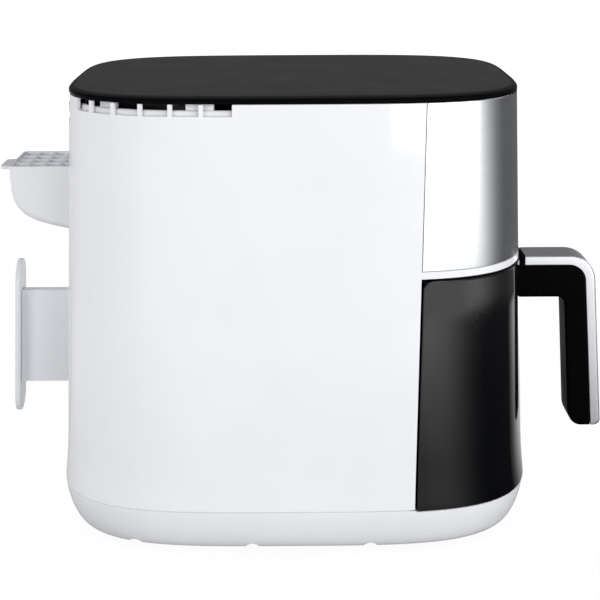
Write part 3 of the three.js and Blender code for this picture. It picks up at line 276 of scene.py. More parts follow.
def face_away(bm, centre=INSIDE):
    """Makes an open sheet's faces look away from a point."""
    bmesh.ops.recalc_face_normals(bm, faces=bm.faces)
    inside = Vector(centre)
    outwards = sum(f.normal.dot(f.calc_center_median() - inside) * f.calc_area() for f in bm.faces)
    if outwards < 0:
        bmesh.ops.reverse_faces(bm, faces=bm.faces)
    return bm


def mirror_over(bm):
    """Adds the right half of a left half."""
    bmesh.ops.mirror(bm, geom=bm.verts[:] + bm.edges[:] + bm.faces[:], axis="X", merge_dist=MERGE)
    bmesh.ops.delete(bm, geom=[v for v in bm.verts if not v.link_faces], context="VERTS")
    return bm


def belt(columns, section):
    """A bar of constant section, (z, inset) corners, that follows the body's outline."""
    return close(sheet_of(columns, section + section[:1], lambda angle, corner: on_outline(angle, *corner)))


def spread(first, last, steps):
    """Even values from first to last."""
    return [first + (last - first) * k / steps for k in range(steps + 1)]


def arc(a, b, radius, first, last, steps):
    """Points along an arc about (a, b). Its ends are counted in quarter turns from the first axis."""
    wide, high = radius if isinstance(radius, tuple) else (radius, radius)
    turns = [turn * QUARTER for turn in spread(first, last, steps)]
    return [(a + wide * math.cos(turn), b + high * math.sin(turn)) for turn in turns]


def circle(a, b, radius, steps):
    return arc(a, b, radius, 0, 4, steps)[:-1]


def rounded(corners, steps=6):
    """A plan outline from (a, b, radius) corners, each rounded by its own arc."""
    points = []
    for index, (a, b, radius) in enumerate(corners):
        here = Vector((a, b))
        if radius <= 0:
            points.append(here)
            continue
        before = (Vector(corners[index - 1][:2]) - here).normalized()
        after = (Vector(corners[(index + 1) % len(corners)][:2]) - here).normalized()
        half = before.angle(after) / 2
        centre = here + (before + after).normalized() * radius / math.sin(half)
        start = here + before * radius / math.tan(half) - centre
        end = here + after * radius / math.tan(half) - centre
        sweep = start.angle_signed(end)
        points += [centre + Matrix.Rotation(-sweep * step / steps, 2) @ start for step in range(steps + 1)]
    return points


def rounded_box(x0, x1, y0, y1, radius, steps=6):
    return rounded([(x1, y1, radius), (x0, y1, radius), (x0, y0, radius), (x1, y0, radius)], steps)


def flat_face(bm, points, put):
    """One flat face through outline points, each placed by put(a, b)."""
    return bm.faces.new([bm.verts.new(put(a, b)) for a, b in points])


def stretch(bm, face, along, **options):
    """Draws a face out along a vector."""
    drawn = bmesh.ops.extrude_face_region(bm, geom=[face], **options)["geom"]
    bmesh.ops.translate(bm, verts=[g for g in drawn if isinstance(g, bmesh.types.BMVert)], vec=along)


def bar(points, put, along):
    """A closed solid: an outline placed by put and stretched by the vector along."""
    bm = bmesh.new()
    stretch(bm, flat_face(bm, points, put), along, use_keep_orig=True)
    bmesh.ops.recalc_face_normals(bm, faces=bm.faces)
    return bm


def holed_plate(outline, holes, put):
    """A flat sheet with holes, from outlines placed by put."""
    bm = bmesh.new()
    edges = []
    for points in [outline, *holes]:
        ring = [bm.verts.new(put(a, b)) for a, b in points]
        edges += [bm.edges.new((ring[i - 1], ring[i])) for i in range(len(ring))]
    bmesh.ops.triangle_fill(bm, use_beauty=True, use_dissolve=False, edges=edges)
    return bm


def turned(profile, place, steps, axis="Z"):
    """A solid of revolution from (radius, height) corners."""
    bm = bmesh.new()
    verts = [bm.verts.new((radius, 0, height)) for radius, height in profile]
    edges = [bm.edges.new(pair) for pair in zip(verts, verts[1:])]
    bmesh.ops.spin(
        bm, geom=verts + edges, cent=(0, 0, 0), axis=(0, 0, 1), dvec=(0, 0, 0),
        angle=TURN, steps=steps, use_merge=True, use_duplicate=False,
    )
    if axis == "Y":
        bmesh.ops.rotate(bm, verts=bm.verts, cent=(0, 0, 0), matrix=Matrix.Rotation(-QUARTER, 3, "X"))
    bmesh.ops.translate(bm, verts=bm.verts, vec=place)
    return close(bm)


def cap(bm, level):
    """Closes the flat ring of vertices at a height with one face."""
    ring = [v for v in bm.verts if abs(v.co.z - level) < MERGE]
    bm.faces.new(sorted(ring, key=lambda v: math.atan2(v.co.y, v.co.x)))


def round_edges(bm, edges, radius, steps):
    bmesh.ops.bevel(bm, geom=edges, offset=radius, segments=steps, profile=0.5, affect="EDGES", material=-1)


def add_shape(bm, other):
    """Puts a second shape into the same mesh."""
    mesh = bpy.data.meshes.new("part")
    other.to_mesh(mesh)
    other.free()
    bm.from_mesh(mesh)
    bpy.data.meshes.remove(mesh)


def linked(name, data):
    """A new object in the scene."""
    made = bpy.data.objects.new(name, data)
    bpy.context.scene.collection.objects.link(made)
    return made


def shaped(name, bm, *materials):
    """A new object that takes over a shape."""
    mesh = bpy.data.meshes.new(name)
    bm.to_mesh(mesh)
    bm.free()
    for material in materials:
        mesh.materials.append(material)
    return linked(name, mesh)


def cut_by(bm, *cutters):
    """Cuts closed shapes out of a closed shape."""
    body = shaped("body", bm)
    tools = [shaped("tool", cutter) for cutter in cutters]
    for tool in tools:
        modifier = body.modifiers.new("cut", "BOOLEAN")
        modifier.operation, modifier.solver, modifier.object = "DIFFERENCE", "EXACT", tool
    result = bpy.data.meshes.new_from_object(body.evaluated_get(bpy.context.evaluated_depsgraph_get()))
    whole = bmesh.new()
    whole.from_mesh(result)
    for leftover in [body, *tools]:
        mesh = leftover.data
        bpy.data.objects.remove(leftover)
        bpy.data.meshes.remove(mesh)
    bpy.data.meshes.remove(result)
    return whole


SLOT_OF = {}  # the record's slot of each finish, by the finish's name
SHARP = math.radians(35)  # edges that turn more than this are rounded
FACE_WEIGHT = 60


def piece(name, bm, *materials, body="housing", stands_for=(), wall=0.0, edge=0.0, edge_steps=2):
    """Finishes a shape: places it, gives a sheet its wall and sharp edges their rounding."""
    bmesh.ops.transform(bm, matrix=PLACE, verts=bm.verts)
    made = shaped(name, bm, *materials)
    made.data.shade_smooth()
    if wall:
        shell = made.modifiers.new("wall", "SOLIDIFY")
        shell.thickness, shell.offset, shell.use_even_offset = wall * MM, -1, True
    if edge:
        bevel = made.modifiers.new("edges", "BEVEL")
        bevel.width, bevel.segments, bevel.limit_method = edge * MM, edge_steps, "ANGLE"
        bevel.angle_limit, bevel.use_clamp_overlap = SHARP, False
    normals = made.modifiers.new("normals", "WEIGHTED_NORMAL")
    normals.keep_sharp, normals.weight = True, FACE_WEIGHT
    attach(made, body)
    if stands_for:
        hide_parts(*stands_for)


# ---- finishes ----


def linear(code):
    """A colour written as sRGB hex, turned to linear light."""
    parts = [int(code[i:i + 2], 16) / 255 for i in (1, 3, 5)]
    return (*[c / 12.92 if c <= 0.04045 else ((c + 0.055) / 1.055) ** 2.4 for c in parts], 1)


def node(tree, kind, values=None, links=None, **settings):
    """Adds a node: settings are its options, values its sockets and links what feeds them."""
    made = tree.nodes.new(kind)
    for key, value in settings.items():
        setattr(made, key, value)
    for socket, value in (values or {}).items():
        made.inputs[socket].default_value = value
    for socket, source in (links or {}).items():
        output = source.outputs[0] if isinstance(source, bpy.types.Node) else source
        tree.links.new(output, made.inputs[socket])
    return made


# A pattern's size is in millimetres, one for all axes or one for each; low to high is the part of its
# range that is used.
Grain = namedtuple("Grain", "size values low high kind settings")
Grain.__new__.__defaults__ = ({"Detail": 2.0}, 0.3, 0.7, "ShaderNodeTexNoise", {})
SOFT, FINE, BUSY = ({"Detail": detail} for detail in (1.0, 3.0, 4.0))  # levels of finer grain within


def finish(slot, name, tones, gloss, tone, haze=None, relief=None, depth=0.0, **constants):
    """A material whose colour, gloss and relief each follow a grain of real size.

    The grain tone runs the colour between two tones, haze runs the roughness over the range gloss,
    and relief raises the surface by depth, in millimetres. Haze and relief are like tone if not given.
    """
    material = bpy.data.materials.new(name)
    material.use_nodes = True
    SLOT_OF[material.name] = slot
    tree = material.node_tree
    shader = tree.nodes["Principled BSDF"]
    for socket, value in constants.items():
        shader.inputs[socket.replace("_", " ")].default_value = value
    where = node(tree, "ShaderNodeTexCoord").outputs["Object"]
    dark, light = map(linear, tones)

    def follow(grain, low=0, high=1):
        sizes = grain.size if isinstance(grain.size, tuple) else [grain.size] * 3
        scale = [1 / (size * MM) for size in sizes]
        squeezed = node(tree, "ShaderNodeMapping", {"Scale": scale}, {"Vector": where})
        values = {"Scale": 1.0, **grain.values}
        texture = node(tree, grain.kind, values, {"Vector": squeezed}, **grain.settings)
        levels = {"From Min": grain.low, "From Max": grain.high, "To Min": low, "To Max": high}
        return node(tree, "ShaderNodeMapRange", levels, {"Value": texture})

    colour = node(tree, "ShaderNodeMix", {6: dark, 7: light}, {0: follow(tone)}, data_type="RGBA")
    tree.links.new(colour.outputs[2], shader.inputs["Base Color"])
    tree.links.new(follow(haze or tone, *gloss).outputs[0], shader.inputs["Roughness"])
    if depth:
        raised = {"Strength": 1.0, "Distance": depth * MM}
        bump = node(tree, "ShaderNodeBump", raised, {"Height": follow(relief or tone)})
        tree.links.new(bump.outputs[0], shader.inputs["Normal"])
    return material


# Injection-moulded ABS from a polished tool: soft white, clear reflections that waver slightly.
WHITE = finish(
    "white_plastic", "moulded white ABS", ("#edeef2", "#f0f1f5"), (0.05, 0.09),
    Grain(60), Grain(9, FINE), Grain(14, SOFT), 0.001,
)
# The same ABS from an unpolished tool, only seen through openings: flat white with a fine tooth.
INNER_WHITE = finish(
    "white_plastic", "satin white ABS", ("#e2e3e6", "#eaebee"), (0.46, 0.56),
    Grain(0.8, FINE), Grain(7), depth=0.004,
)
# Charcoal ABS with a fine spark-eroded grain: nearly black, with a soft sheen seen at a low angle.
LID_TOP_FINISH = finish(
    "lid_plastic", "grained charcoal ABS", ("#090a0d", "#0d0e12"), (0.34, 0.4),
    Grain(0.7), Grain(35, FINE), depth=0.002, IOR=1.58,
)
# The lid's rim and shoulder are a second, darker copy of the same charcoal, deep and close to black, smoother
# than the top and with its reflection nearly turned off. This copy is painted shade that stands in for the
# dark the shoulder falls into.
LID_SHADED_EDGE = finish(
    "lid_plastic", "charcoal ABS in painted shade", ("#07080a", "#0a0b0d"), (0.2, 0.28),
    Grain((8, 8, 3), FINE), Specular_IOR_Level=0.01,
)
# Black ABS from a mirror-polished tool: deep, with sharp reflections and a trace of moulding flow.
GLOSS_BLACK = finish(
    "black_gloss", "polished black ABS", ("#07080a", "#0b0c0e"), (0.055, 0.11),
    Grain((30, 30, 60), low=0.35, high=0.65), Grain(3, BUSY, high=0.75), Grain(25, SOFT), 0.0006,
)
# Black polypropylene with a fine leather-like grain, dry to the touch: dull, with a wide faint sheen.
MATT_BLACK = finish(
    "black_matt", "grained black polypropylene", ("#030304", "#08080a"), (0.48, 0.6),
    Grain(0.9, {}, 0, 1, "ShaderNodeTexVoronoi", {"feature": "SMOOTH_F1"}), Grain(25, FINE),
    depth=0.018, Specular_IOR_Level=0.02,
)
# Anodised aluminium strip, blasted fine: pale, with broad soft highlights and a fine sparkle.
SILVER = finish(
    "silver_trim", "blasted anodised aluminium", ("#d6d7da", "#e2e3e6"), (0.42, 0.5),
    Grain(0.35, FINE), depth=0.001, Metallic=1.0,
)
# Stainless steel brushed round the body: fine scratches a few centimetres long, with a soft wide gleam.
# The scratches are drawn 0.6 mm apart, wider than real ones, so that they show.
BRUSHED = finish(
    "brushed_steel", "brushed stainless steel", ("#bfc1c4", "#c9cbce"), (0.21, 0.25),
    Grain((110, 110, 0.6), {"Detail": 3.0, "Roughness": 0.7}), depth=0.0005, Metallic=1.0,
)
# Black-backed glass of the touch panel: a deep, hard gloss with the faintest wipe marks.
GLASS = finish(
    "panel_glass", "black-backed glass", ("#040507", "#08090b"), (0.02, 0.08),
    Grain((12, 12, 4), BUSY), Grain((12, 12, 4), BUSY, 0.45, 0.8), IOR=1.52, Coat_Weight=0.3,
)
# Pale ink baked on the back of the glass: soft white touch marks, faintly lit from behind.
INK = finish(
    "panel_glass", "baked pale ink", ("#bfc4ca", "#d5dae0"), (0.3, 0.4), Grain(0.3), Grain(2),
    Emission_Color=linear("#d5e2f0"), Emission_Strength=0.12,
)
# Zinc-plated steel sheet as pressed: grey, with cloudy dull patches and fine rolling lines.
STEEL = finish(
    "plain_steel", "zinc-plated steel", ("#8c8f92", "#a8abae"), (0.34, 0.52),
    Grain(14, BUSY), relief=Grain((0.5, 30, 0.5)), depth=0.0012, Metallic=1.0,
)
# Aluminised steel sheet of the cooking space: pale grey, satin, with a faint spangle.
ALUMINIUM = finish(
    "bare_aluminium", "aluminised steel sheet", ("#a5a7a9", "#babcbe"), (0.36, 0.5),
    Grain(6, {}, 0, 1, "ShaderNodeTexVoronoi"), relief=Grain((1, 40, 1)), depth=0.0012, Metallic=1.0,
)
# PTFE coating sprayed on pressed steel: charcoal, slightly pebbled and flecked, with a greasy sheen.
COATING = finish(
    "non_stick", "sprayed non-stick coating", ("#3a3a3d", "#242426"), (0.32, 0.46),
    Grain(1.6, {}, 0.05, 0.2, "ShaderNodeTexVoronoi"), Grain(0.9), Grain(0.9), 0.0065,
)
# Moulded silicone rubber: dark, dead matt, faintly dusty.
RUBBER = finish(
    "rubber_foot", "moulded silicone rubber", ("#1b1b1c", "#28282a"), (0.75, 0.85),
    Grain(1.2, BUSY), Grain(5), depth=0.0035, IOR=1.41,
)
# Glass-epoxy board under green solder mask: glossy, with copper tracks showing as lighter lines.
TRACKS = {"Mortar Size": 0.06, "Color1": (0, 0, 0, 1), "Color2": (0, 0, 0, 1), "Mortar": (1, 1, 1, 1)}
BOARD = finish(
    "circuit_board", "green solder mask", ("#1b5033", "#357a50"), (0.3, 0.4),
    Grain(5, TRACKS, 0, 1, "ShaderNodeTexBrick"), Grain(4), depth=0.012,
)
# Enamelled copper wire wound in even layers: warm, ridged and glossy.
WINDING = finish(
    "motor_winding", "enamelled copper winding", ("#8a4f2a", "#b9784a"), (0.26, 0.34),
    Grain((30, 30, 1.2), {"Distortion": 0.4}, 0, 1, "ShaderNodeTexWave", {"bands_direction": "Z"}),
    Grain(3), depth=0.05, Metallic=1.0,
)

# ---- base ----

BASE_RINGS = 16
CHIN_STEP = 0.01  # turn over which the rim steps down at the split
TRAY_FLOOR = RIM + 2.5
SCALLOP_RADIUS = 5
SCALLOP_DEPTH = 3
SCALLOP_PLACES = (110, 30, -50)
SCALLOP_RUN = (25, 40)  # the cutters start this far inside the lid's sides, and are this long
FOOT_DISH = 0.8  # depth of the dish under each foot


def base_inset(z):
    down = held((SEAM - z) / (SEAM - RIM))
    return BASE_TUCK * (1 - (1 - down ** BASE_ROUNDNESS) ** (1 / BASE_ROUNDNESS))


def base_bowl():
    """Bowl-shaped base with a folded-in rim, and a step down in front of the split."""
    split = side_angle(split_at(SEAM), SEAM)
    columns = both_sides(columns_with(split, split + CHIN_STEP))
    lowered = FRONT_MIDDLE - split - CHIN_STEP / 2
    falls = [0.5 - 0.5 * math.cos(turn) for turn in spread(0, math.pi, BASE_RINGS)]

    def place(angle, fall):
        """fall runs from 0 at the top to 1 at the rim; the fold past the rim is given as (z, inset)."""
        if isinstance(fall, tuple):
            return on_outline(angle, *fall)
        top = SEAM - CHIN_DROP if abs(angle - FRONT_MIDDLE) < lowered else SEAM
        z = RIM + (top - RIM) * (1 - fall)
        return on_outline(angle, z, base_inset(z))

    bowl = close(sheet_of(columns, [*falls, (RIM, BASE_TUCK + WALL), (TRAY_FLOOR, BASE_TUCK + WALL)], place))
    levels = [TRAY_FLOOR + WALL, (RIM + SEAM) / 2, SEAM + 3]
    hollow = close(sheet_of(columns, levels, lambda angle, z: on_outline(angle, z, base_inset(z) + WALL)))
    notches = [base_notch(side, y) for side in (-1, 1) for y in SCALLOP_PLACES]
    piece("base_bowl", cut_by(bowl, hollow, *notches), WHITE, stands_for=["base_tray"], edge=0.3)


def base_notch(side, y):
    """Round cutter across the base's lower edge."""
    points = circle(y, RIM + SCALLOP_DEPTH - SCALLOP_RADIUS, SCALLOP_RADIUS, 32)
    start = side * (HALF_WIDTH - SCALLOP_RUN[0])
    return bar(points, lambda a, b: (start, a, b), (side * SCALLOP_RUN[1], 0, 0))


def front_floor(name, z, grow, bottom, material, inset):
    """A level plate that fills the body's outline in front of the split."""
    split = side_angle(split_at(z) + grow, z)
    points = [on_outline(angle, z, inset).xy for angle in both_sides(columns_from(split))]
    piece(name, bar(points, lambda a, b: (a, b, bottom), (0, 0, WALL)), material, edge=0.3)


def base_chin():
    """Plate that closes the base in front of the split, under the drawer front."""
    z = SEAM - CHIN_DROP
    front_floor("base_chin", z, -RUNNING_GAP, z - WALL, WHITE, WALL - 0.5)


def front_shelf():
    """Floor of the upper front part, over the drawer."""
    z = BAND_BOTTOM + GAP
    front_floor("front_shelf", z, WALL, z, INNER_WHITE, WALL - 0.4)


def feet():
    """Moulded rubber feet under the four corners of the base."""
    for name in (f"foot_{end}_{side}" for side in ("left", "right") for end in ("front", "rear")):
        low, high = span(name)
        centre = centre_of(name)
        radius = (high.x - low.x) / 2
        seat = TRAY_FLOOR - GAP
        dish, stem = radius * 0.55, radius / 3
        profile = [(0, FOOT_DISH), (dish, FOOT_DISH), (radius * 0.62, 0), (radius - 1, 0), (radius, 1)]
        profile += [(radius, seat), (stem, seat), (stem, high.z - 0.5), (0, high.z)]
        shape = turned(profile, (centre.x, centre.y, 0), 28)
        piece(name + "_pad", shape, RUBBER, stands_for=[name], edge=0.25)


# ---- housing ----

SLOT_HEIGHT = 7.7
SLOT_PITCH = 20
SLOT_EXTRA = 1.4  # the front slot is this much longer than the others
SLOT_RIB = 3
SLOT_START = 39.6  # Y where the front slot begins
SLOT_COUNT = 6
LEDGE_TOP = BODY_TOP - SLOT_HEIGHT
LEDGE_BOTTOM = LEDGE_TOP - 1.7
LEDGE_INSET = 1.6
CHANNEL_DEPTH = 3.2
CHANNEL_WALL_TOP = BODY_TOP - 4.1
CHANNEL_BEND = 1.2  # radius between the ledge and the channel's wall
CHANNEL_LIP = 0.8
INTAKE_BLOCKS = ((53.5, 72), (119.5, 131))  # bosses of the lid seen behind the slots, along Y
GRILLE_HALF = 84
GRILLE_LOW = BODY_TOP - 19
GRILLE_HIGH = BODY_TOP - 12.6
TOUCH_HALF = 62
TOUCH_TOP = BODY_TOP - 25
TOUCH_BOTTOM = TOUCH_TOP - 60
TOUCH_RING = 250  # height of the wall's ring beside the control window
GLASS_THICKNESS = 2.4
RECESS = STEEL_THICKNESS + GAP
RECESS_STEP = 0.25  # height over which the wall steps in behind the steel


def in_window(low, high):
    return TOUCH_BOTTOM - 1 < (low + high) / 2 < TOUCH_TOP + 1


def slot_edges():
    """Angles of the slots' edges, first the front one of each slot."""
    ends = [SLOT_PITCH * k + SLOT_EXTRA for k in range(1, SLOT_COUNT + 1)]
    runs = zip([0, *ends[:-1]], [end - SLOT_RIB for end in ends])
    return [(angle_at(SLOT_START, start), angle_at(SLOT_START, end)) for start, end in runs]


def housing_wall():
    """Outer wall: sides, rear and the band over the drawer, with its slots and the recess for the steel."""
    edges = slot_edges()
    grille = rear_angle(GRILLE_HALF, BODY_TOP)
    split = side_angle(split_at(BODY_TOP), BODY_TOP)
    step = side_angle(split_at(BODY_TOP) - GAP, BODY_TOP)
    touch = front_angle(TOUCH_HALF + GAP, BODY_TOP)
    columns = columns_with(grille, split, step, touch, *[angle for pair in edges for angle in pair])
    rows = [SEAM + SEAM_GAP, *FLARE_RINGS, BAND_BOTTOM + GAP, STEEL_BOTTOM, STEEL_BOTTOM + RECESS_STEP]
    rows += [TOUCH_BOTTOM - GAP, TOUCH_RING, TOUCH_TOP + GAP, GRILLE_LOW, GRILLE_HIGH, LEDGE_TOP, BODY_TOP]
    upright = [edges[0][0], split, FRONT_MIDDLE]

    def place(angle, z):
        """Columns near the split follow its lean; those behind the slots stay upright."""
        share = float(np.interp(angle, upright, [0, 1, 0]))
        leaning = angle + share * (side_angle(split_at(z), z) - split)
        recessed = angle >= step and z >= STEEL_BOTTOM + RECESS_STEP
        return on_outline(leaning, z, RECESS if recessed else 0)

    def keep(i, j):
        between, z = (columns[i] + columns[i + 1]) / 2, (rows[j] + rows[j + 1]) / 2
        under_band = between > split and z < BAND_BOTTOM + GAP
        window = between > touch and in_window(rows[j], rows[j + 1])
        slot = z > LEDGE_TOP and any(rear < between < ahead for ahead, rear in edges)
        grilled = between < grille and (z > LEDGE_TOP or GRILLE_LOW < z < GRILLE_HIGH)
        return not (under_band or window or slot or grilled)

    bm = mirror_over(sheet_of(columns, rows, place, keep))
    face_away(bm)
    piece("housing_wall", bm, WHITE, stands_for=["housing_shell"], wall=WALL, edge=0.3)


def intake_channels():
    """Ledge and recessed inner wall behind the air slots, one on each side."""
    rear = rear_angle(GRILLE_HALF + WALL + GAP, BODY_TOP)
    ahead = side_angle(SLOT_START - WALL, BODY_TOP)
    left = columns_from(rear, ahead, last=ahead)
    inner = CHANNEL_DEPTH + WALL
    bend = (LEDGE_TOP + CHANNEL_BEND, CHANNEL_DEPTH - CHANNEL_BEND, CHANNEL_BEND)
    section = [
        (LEDGE_BOTTOM, LEDGE_INSET), (LEDGE_TOP, LEDGE_INSET), *arc(*bend, 2, 1, 2),
        (CHANNEL_WALL_TOP - CHANNEL_LIP, CHANNEL_DEPTH), (CHANNEL_WALL_TOP, CHANNEL_DEPTH + CHANNEL_LIP),
        (CHANNEL_WALL_TOP, inner), (LEDGE_BOTTOM, inner),
    ]
    low, high = CHANNEL_WALL_TOP - GAP, BODY_TOP - 0.1
    block = [(low, inner - 0.2), (low, inner + 2), (high, inner + 2), (high, inner - 0.2)]
    for side in ("left", "right"):
        bm = belt(on_side(left, side), section)
        for front, back in INTAKE_BLOCKS:
            end = side_angle(front, BODY_TOP)
            run = columns_from(side_angle(back, BODY_TOP), end, last=end)
            add_shape(bm, belt(on_side(run, side), block))
        piece(f"intake_channel_{side}", bm, WHITE, edge=0.2, edge_steps=1)


# ---- lid, steel face, control window ----

LID_BOTTOM = BODY_TOP + GAP
LID_RIM_TOP = LID_BOTTOM + 2.5
LID_SHOULDERS = (3, 13)  # width of the shoulder at the ends and along the sides
LID_CROWN = 0.4  # fall of the top from its middle to the shoulder
LID_PROUD = 0.1
SHOULDER_INSET = 0.4
SHOULDER_STEPS = 7
SKIRT_DROP = 5  # how far the skirt hangs below the wall's top, and starts ahead of the slots
STEEL_EDGE_GAP = 0.45  # seen as the dark line round the steel


def top_lid():
    """Dark lid: an upright edge, a soft smooth shoulder and a grained satin top, over a skirt."""
    rise = LID_TOP - LID_CROWN - LID_RIM_TOP
    rings = [(LID_BOTTOM, 2 * WALL, 0), (LID_BOTTOM, 0.3, 0), (LID_BOTTOM + 0.5, -LID_PROUD, 0)]
    rings += [(LID_RIM_TOP - 0.5, -LID_PROUD, 0), (LID_RIM_TOP - 0.1, 0.25 - LID_PROUD, 0)]
    shoulder = arc(1, LID_RIM_TOP, (1, rise), 2, 1, SHOULDER_STEPS)
    rings += [(z, SHOULDER_INSET, share) for share, z in shoulder]
    rings += [(LID_TOP - fall, inset, 1) for fall, inset in ((0.2, 7), (0.06, 13), (0, 20), (0, 70))]

    def place(angle, ring):
        z, inset, share = ring
        width = np.interp(math.cos(angle) ** 2, [0, 1], LID_SHOULDERS)
        return on_outline(angle, z, inset + share * float(width))

    bm = close(sheet_of(both_sides(EVEN_COLUMNS), rings, place))
    # The rim and shoulder take the second, darker finish, which is painted shade; the top keeps the grained
    # charcoal.
    for face in bm.faces:
        face.material_index = 0 if face.calc_center_median().z > LID_TOP - LID_CROWN else 1
    skirt = columns_from(side_angle(SLOT_START - SKIRT_DROP, BODY_TOP))
    low, high = BODY_TOP - SKIRT_DROP, LID_BOTTOM + GAP
    section = [(low, WALL + GAP), (high, WALL + GAP), (high, 2 * WALL), (low, 2 * WALL)]
    add_shape(bm, belt(both_sides(skirt), section))
    piece("lid", bm, LID_TOP_FINISH, LID_SHADED_EDGE, stands_for=["top_lid"])


def steel_face():
    """Brushed steel face wrapped round the upper front, with the control window's hole."""
    first = side_angle(split_at(BODY_TOP) - STEEL_EDGE_GAP, BODY_TOP)
    touch = front_angle(TOUCH_HALF + GAP, BODY_TOP)
    columns = columns_from(first, touch)
    rows = [STEEL_BOTTOM + STEEL_EDGE_GAP, TOUCH_BOTTOM - GAP, (TOUCH_BOTTOM + TOUCH_TOP) / 2]
    rows += [TOUCH_TOP + GAP, BODY_TOP - 0.1]

    def place(angle, z):
        share = (FRONT_MIDDLE - angle) / (FRONT_MIDDLE - first)
        return on_outline(angle + share * (side_angle(split_at(z) - STEEL_EDGE_GAP, z) - first), z)

    def keep(i, j):
        return (columns[i] + columns[i + 1]) / 2 <= touch or not in_window(rows[j], rows[j + 1])

    bm = mirror_over(sheet_of(columns, rows, place, keep))
    face_away(bm)
    piece("steel_wrap", bm, BRUSHED, stands_for=["steel_face"], wall=STEEL_THICKNESS, edge=0.22)


def touch_panel():
    """Glass control window, flush in the steel, with plain touch marks under it."""
    columns = both_sides(columns_from(front_angle(TOUCH_HALF, BODY_TOP)))
    bm = face_away(sheet_of(columns, [TOUCH_BOTTOM, TOUCH_TOP], on_outline))
    piece("control_window", bm, GLASS, stands_for=["touch_panel"], wall=GLASS_THICKNESS, edge=0.3)


INK_DEPTH = 0.06
KEY_HEIGHT = TOUCH_BOTTOM + 15
KEY_PLACES = ((28, 1), (48, -1))  # distance from the middle, and the side on which the key is a plus
KEY_RADIUS = 6.5
SWITCH_RADIUS = 5
SWITCH_ENDS = (125 / 90, 415 / 90)  # in quarter turns: its ring is open at the top, round the bar
RING_LINE = 0.7
RING_STEPS = 28
STROKE_HALF, STROKE_END = 0.4, 2.6


def on_panel(x, z):
    """A point just in front of the glass."""
    return Vector((x, end_y(x, z, -1) - INK_DEPTH, z))


def mark(bm, points):
    """One flat inked mark, with its outline in (x, z)."""
    add_shape(bm, bar(points, on_panel, (0, INK_DEPTH + 0.1, 0)))


def stroke(bm, x, half, low, high):
    """A straight inked bar; its ends are heights over the keys' middle."""
    corners = ((-half, low), (half, low), (half, high), (-half, high))
    mark(bm, [(x + a, KEY_HEIGHT + b) for a, b in corners])


def ring_mark(bm, x, radius, first, last):
    """A thin inked ring, or part of one, between two angles in quarter turns."""
    outer, inner = (arc(x, KEY_HEIGHT, r, first, last, RING_STEPS) for r in (radius, radius - RING_LINE))
    for k in range(RING_STEPS):
        mark(bm, [outer[k], outer[k + 1], inner[k + 1], inner[k]])


def touch_marks():
    """Plain printed marks: plus and minus keys on both sides, and a ring key with a bar."""
    bm = bmesh.new()
    for side in (-1, 1):
        for away, plus_side in KEY_PLACES:
            x = side * away
            ring_mark(bm, x, KEY_RADIUS, 0, 4)
            stroke(bm, x, STROKE_END, -STROKE_HALF, STROKE_HALF)
            if side == plus_side:
                stroke(bm, x, STROKE_HALF, 0.5, STROKE_END)
                stroke(bm, x, STROKE_HALF, -STROKE_END, -0.5)
    ring_mark(bm, 0, SWITCH_RADIUS, *SWITCH_ENDS)
    stroke(bm, 0, STROKE_HALF, 1, 6)
    bmesh.ops.recalc_face_normals(bm, faces=bm.faces)
    piece("touch_marks", bm, INK)


# ---- rear: grille, scoop, cord wrap, gland ----

GRILLE_PITCH = 16
GRILLE_SLOT = 11
GRILLE_RAIL = 1.2
GRILLE_END = 1.5
GRILLE_INSET = 0.6
GRILLE_THICKNESS = 1.5


def rear_grille():
    """Black grilles that fill the two rear windows, just inside the wall's face."""
    half = GRILLE_HALF - GAP
    count = GRILLE_HALF // GRILLE_PITCH
    edges = [k * GRILLE_PITCH + side * GRILLE_SLOT / 2 for k in range(-count, count + 1) for side in (-1, 1)]
    lines = [-half, *[min(max(edge, GRILLE_END - half), half - GRILLE_END) for edge in edges], half]
    rows = []
    for low, high in ((GRILLE_LOW, GRILLE_HIGH), (LEDGE_TOP, BODY_TOP)):
        rows += [low + GAP, low + GAP + GRILLE_RAIL, high - GAP - GRILLE_RAIL, high - GAP]

    def place(x, z):
        return x, end_y(x, z, 1, GRILLE_INSET), z

    def keep(i, j):
        return j != 3 and (i % 2 == 0 or j not in (1, 5))

    bm = face_away(sheet_of(lines, rows, place, keep))
    piece("grille_plate", bm, MATT_BLACK, stands_for=["rear_grille"], wall=GRILLE_THICKNESS, edge=0.3)


HOOD_HALF = 37
HOOD_REACH = 202
HOOD_WALL = 2
HOOD_ROUNDING = 4.5
HOOD_ROOT = HALF_LENGTH + 0.6  # just inside the rear wall
# The scoop's underside: Y and height over its foot of the points that draw the curve.
HOOD_CURVE = ((158, -1.4), (180, 4.5), (HOOD_REACH - 1, 5), (HOOD_REACH - 0.4, 32))
GRID_ACROSS = 16.8
GRID_ALONG = 11.15
GRID_ROWS = 5
GRID_BAR = 1.8
GRID_DEPTH = 4.5
GRID_SUNK = 0.4
TAB_HALF = 17
TAB_REACH = 9.5
TAB_DROP = 2.8
TAB_THICKNESS = 2.4
TAB_FILLET = 3
TAB_CORNER = 4


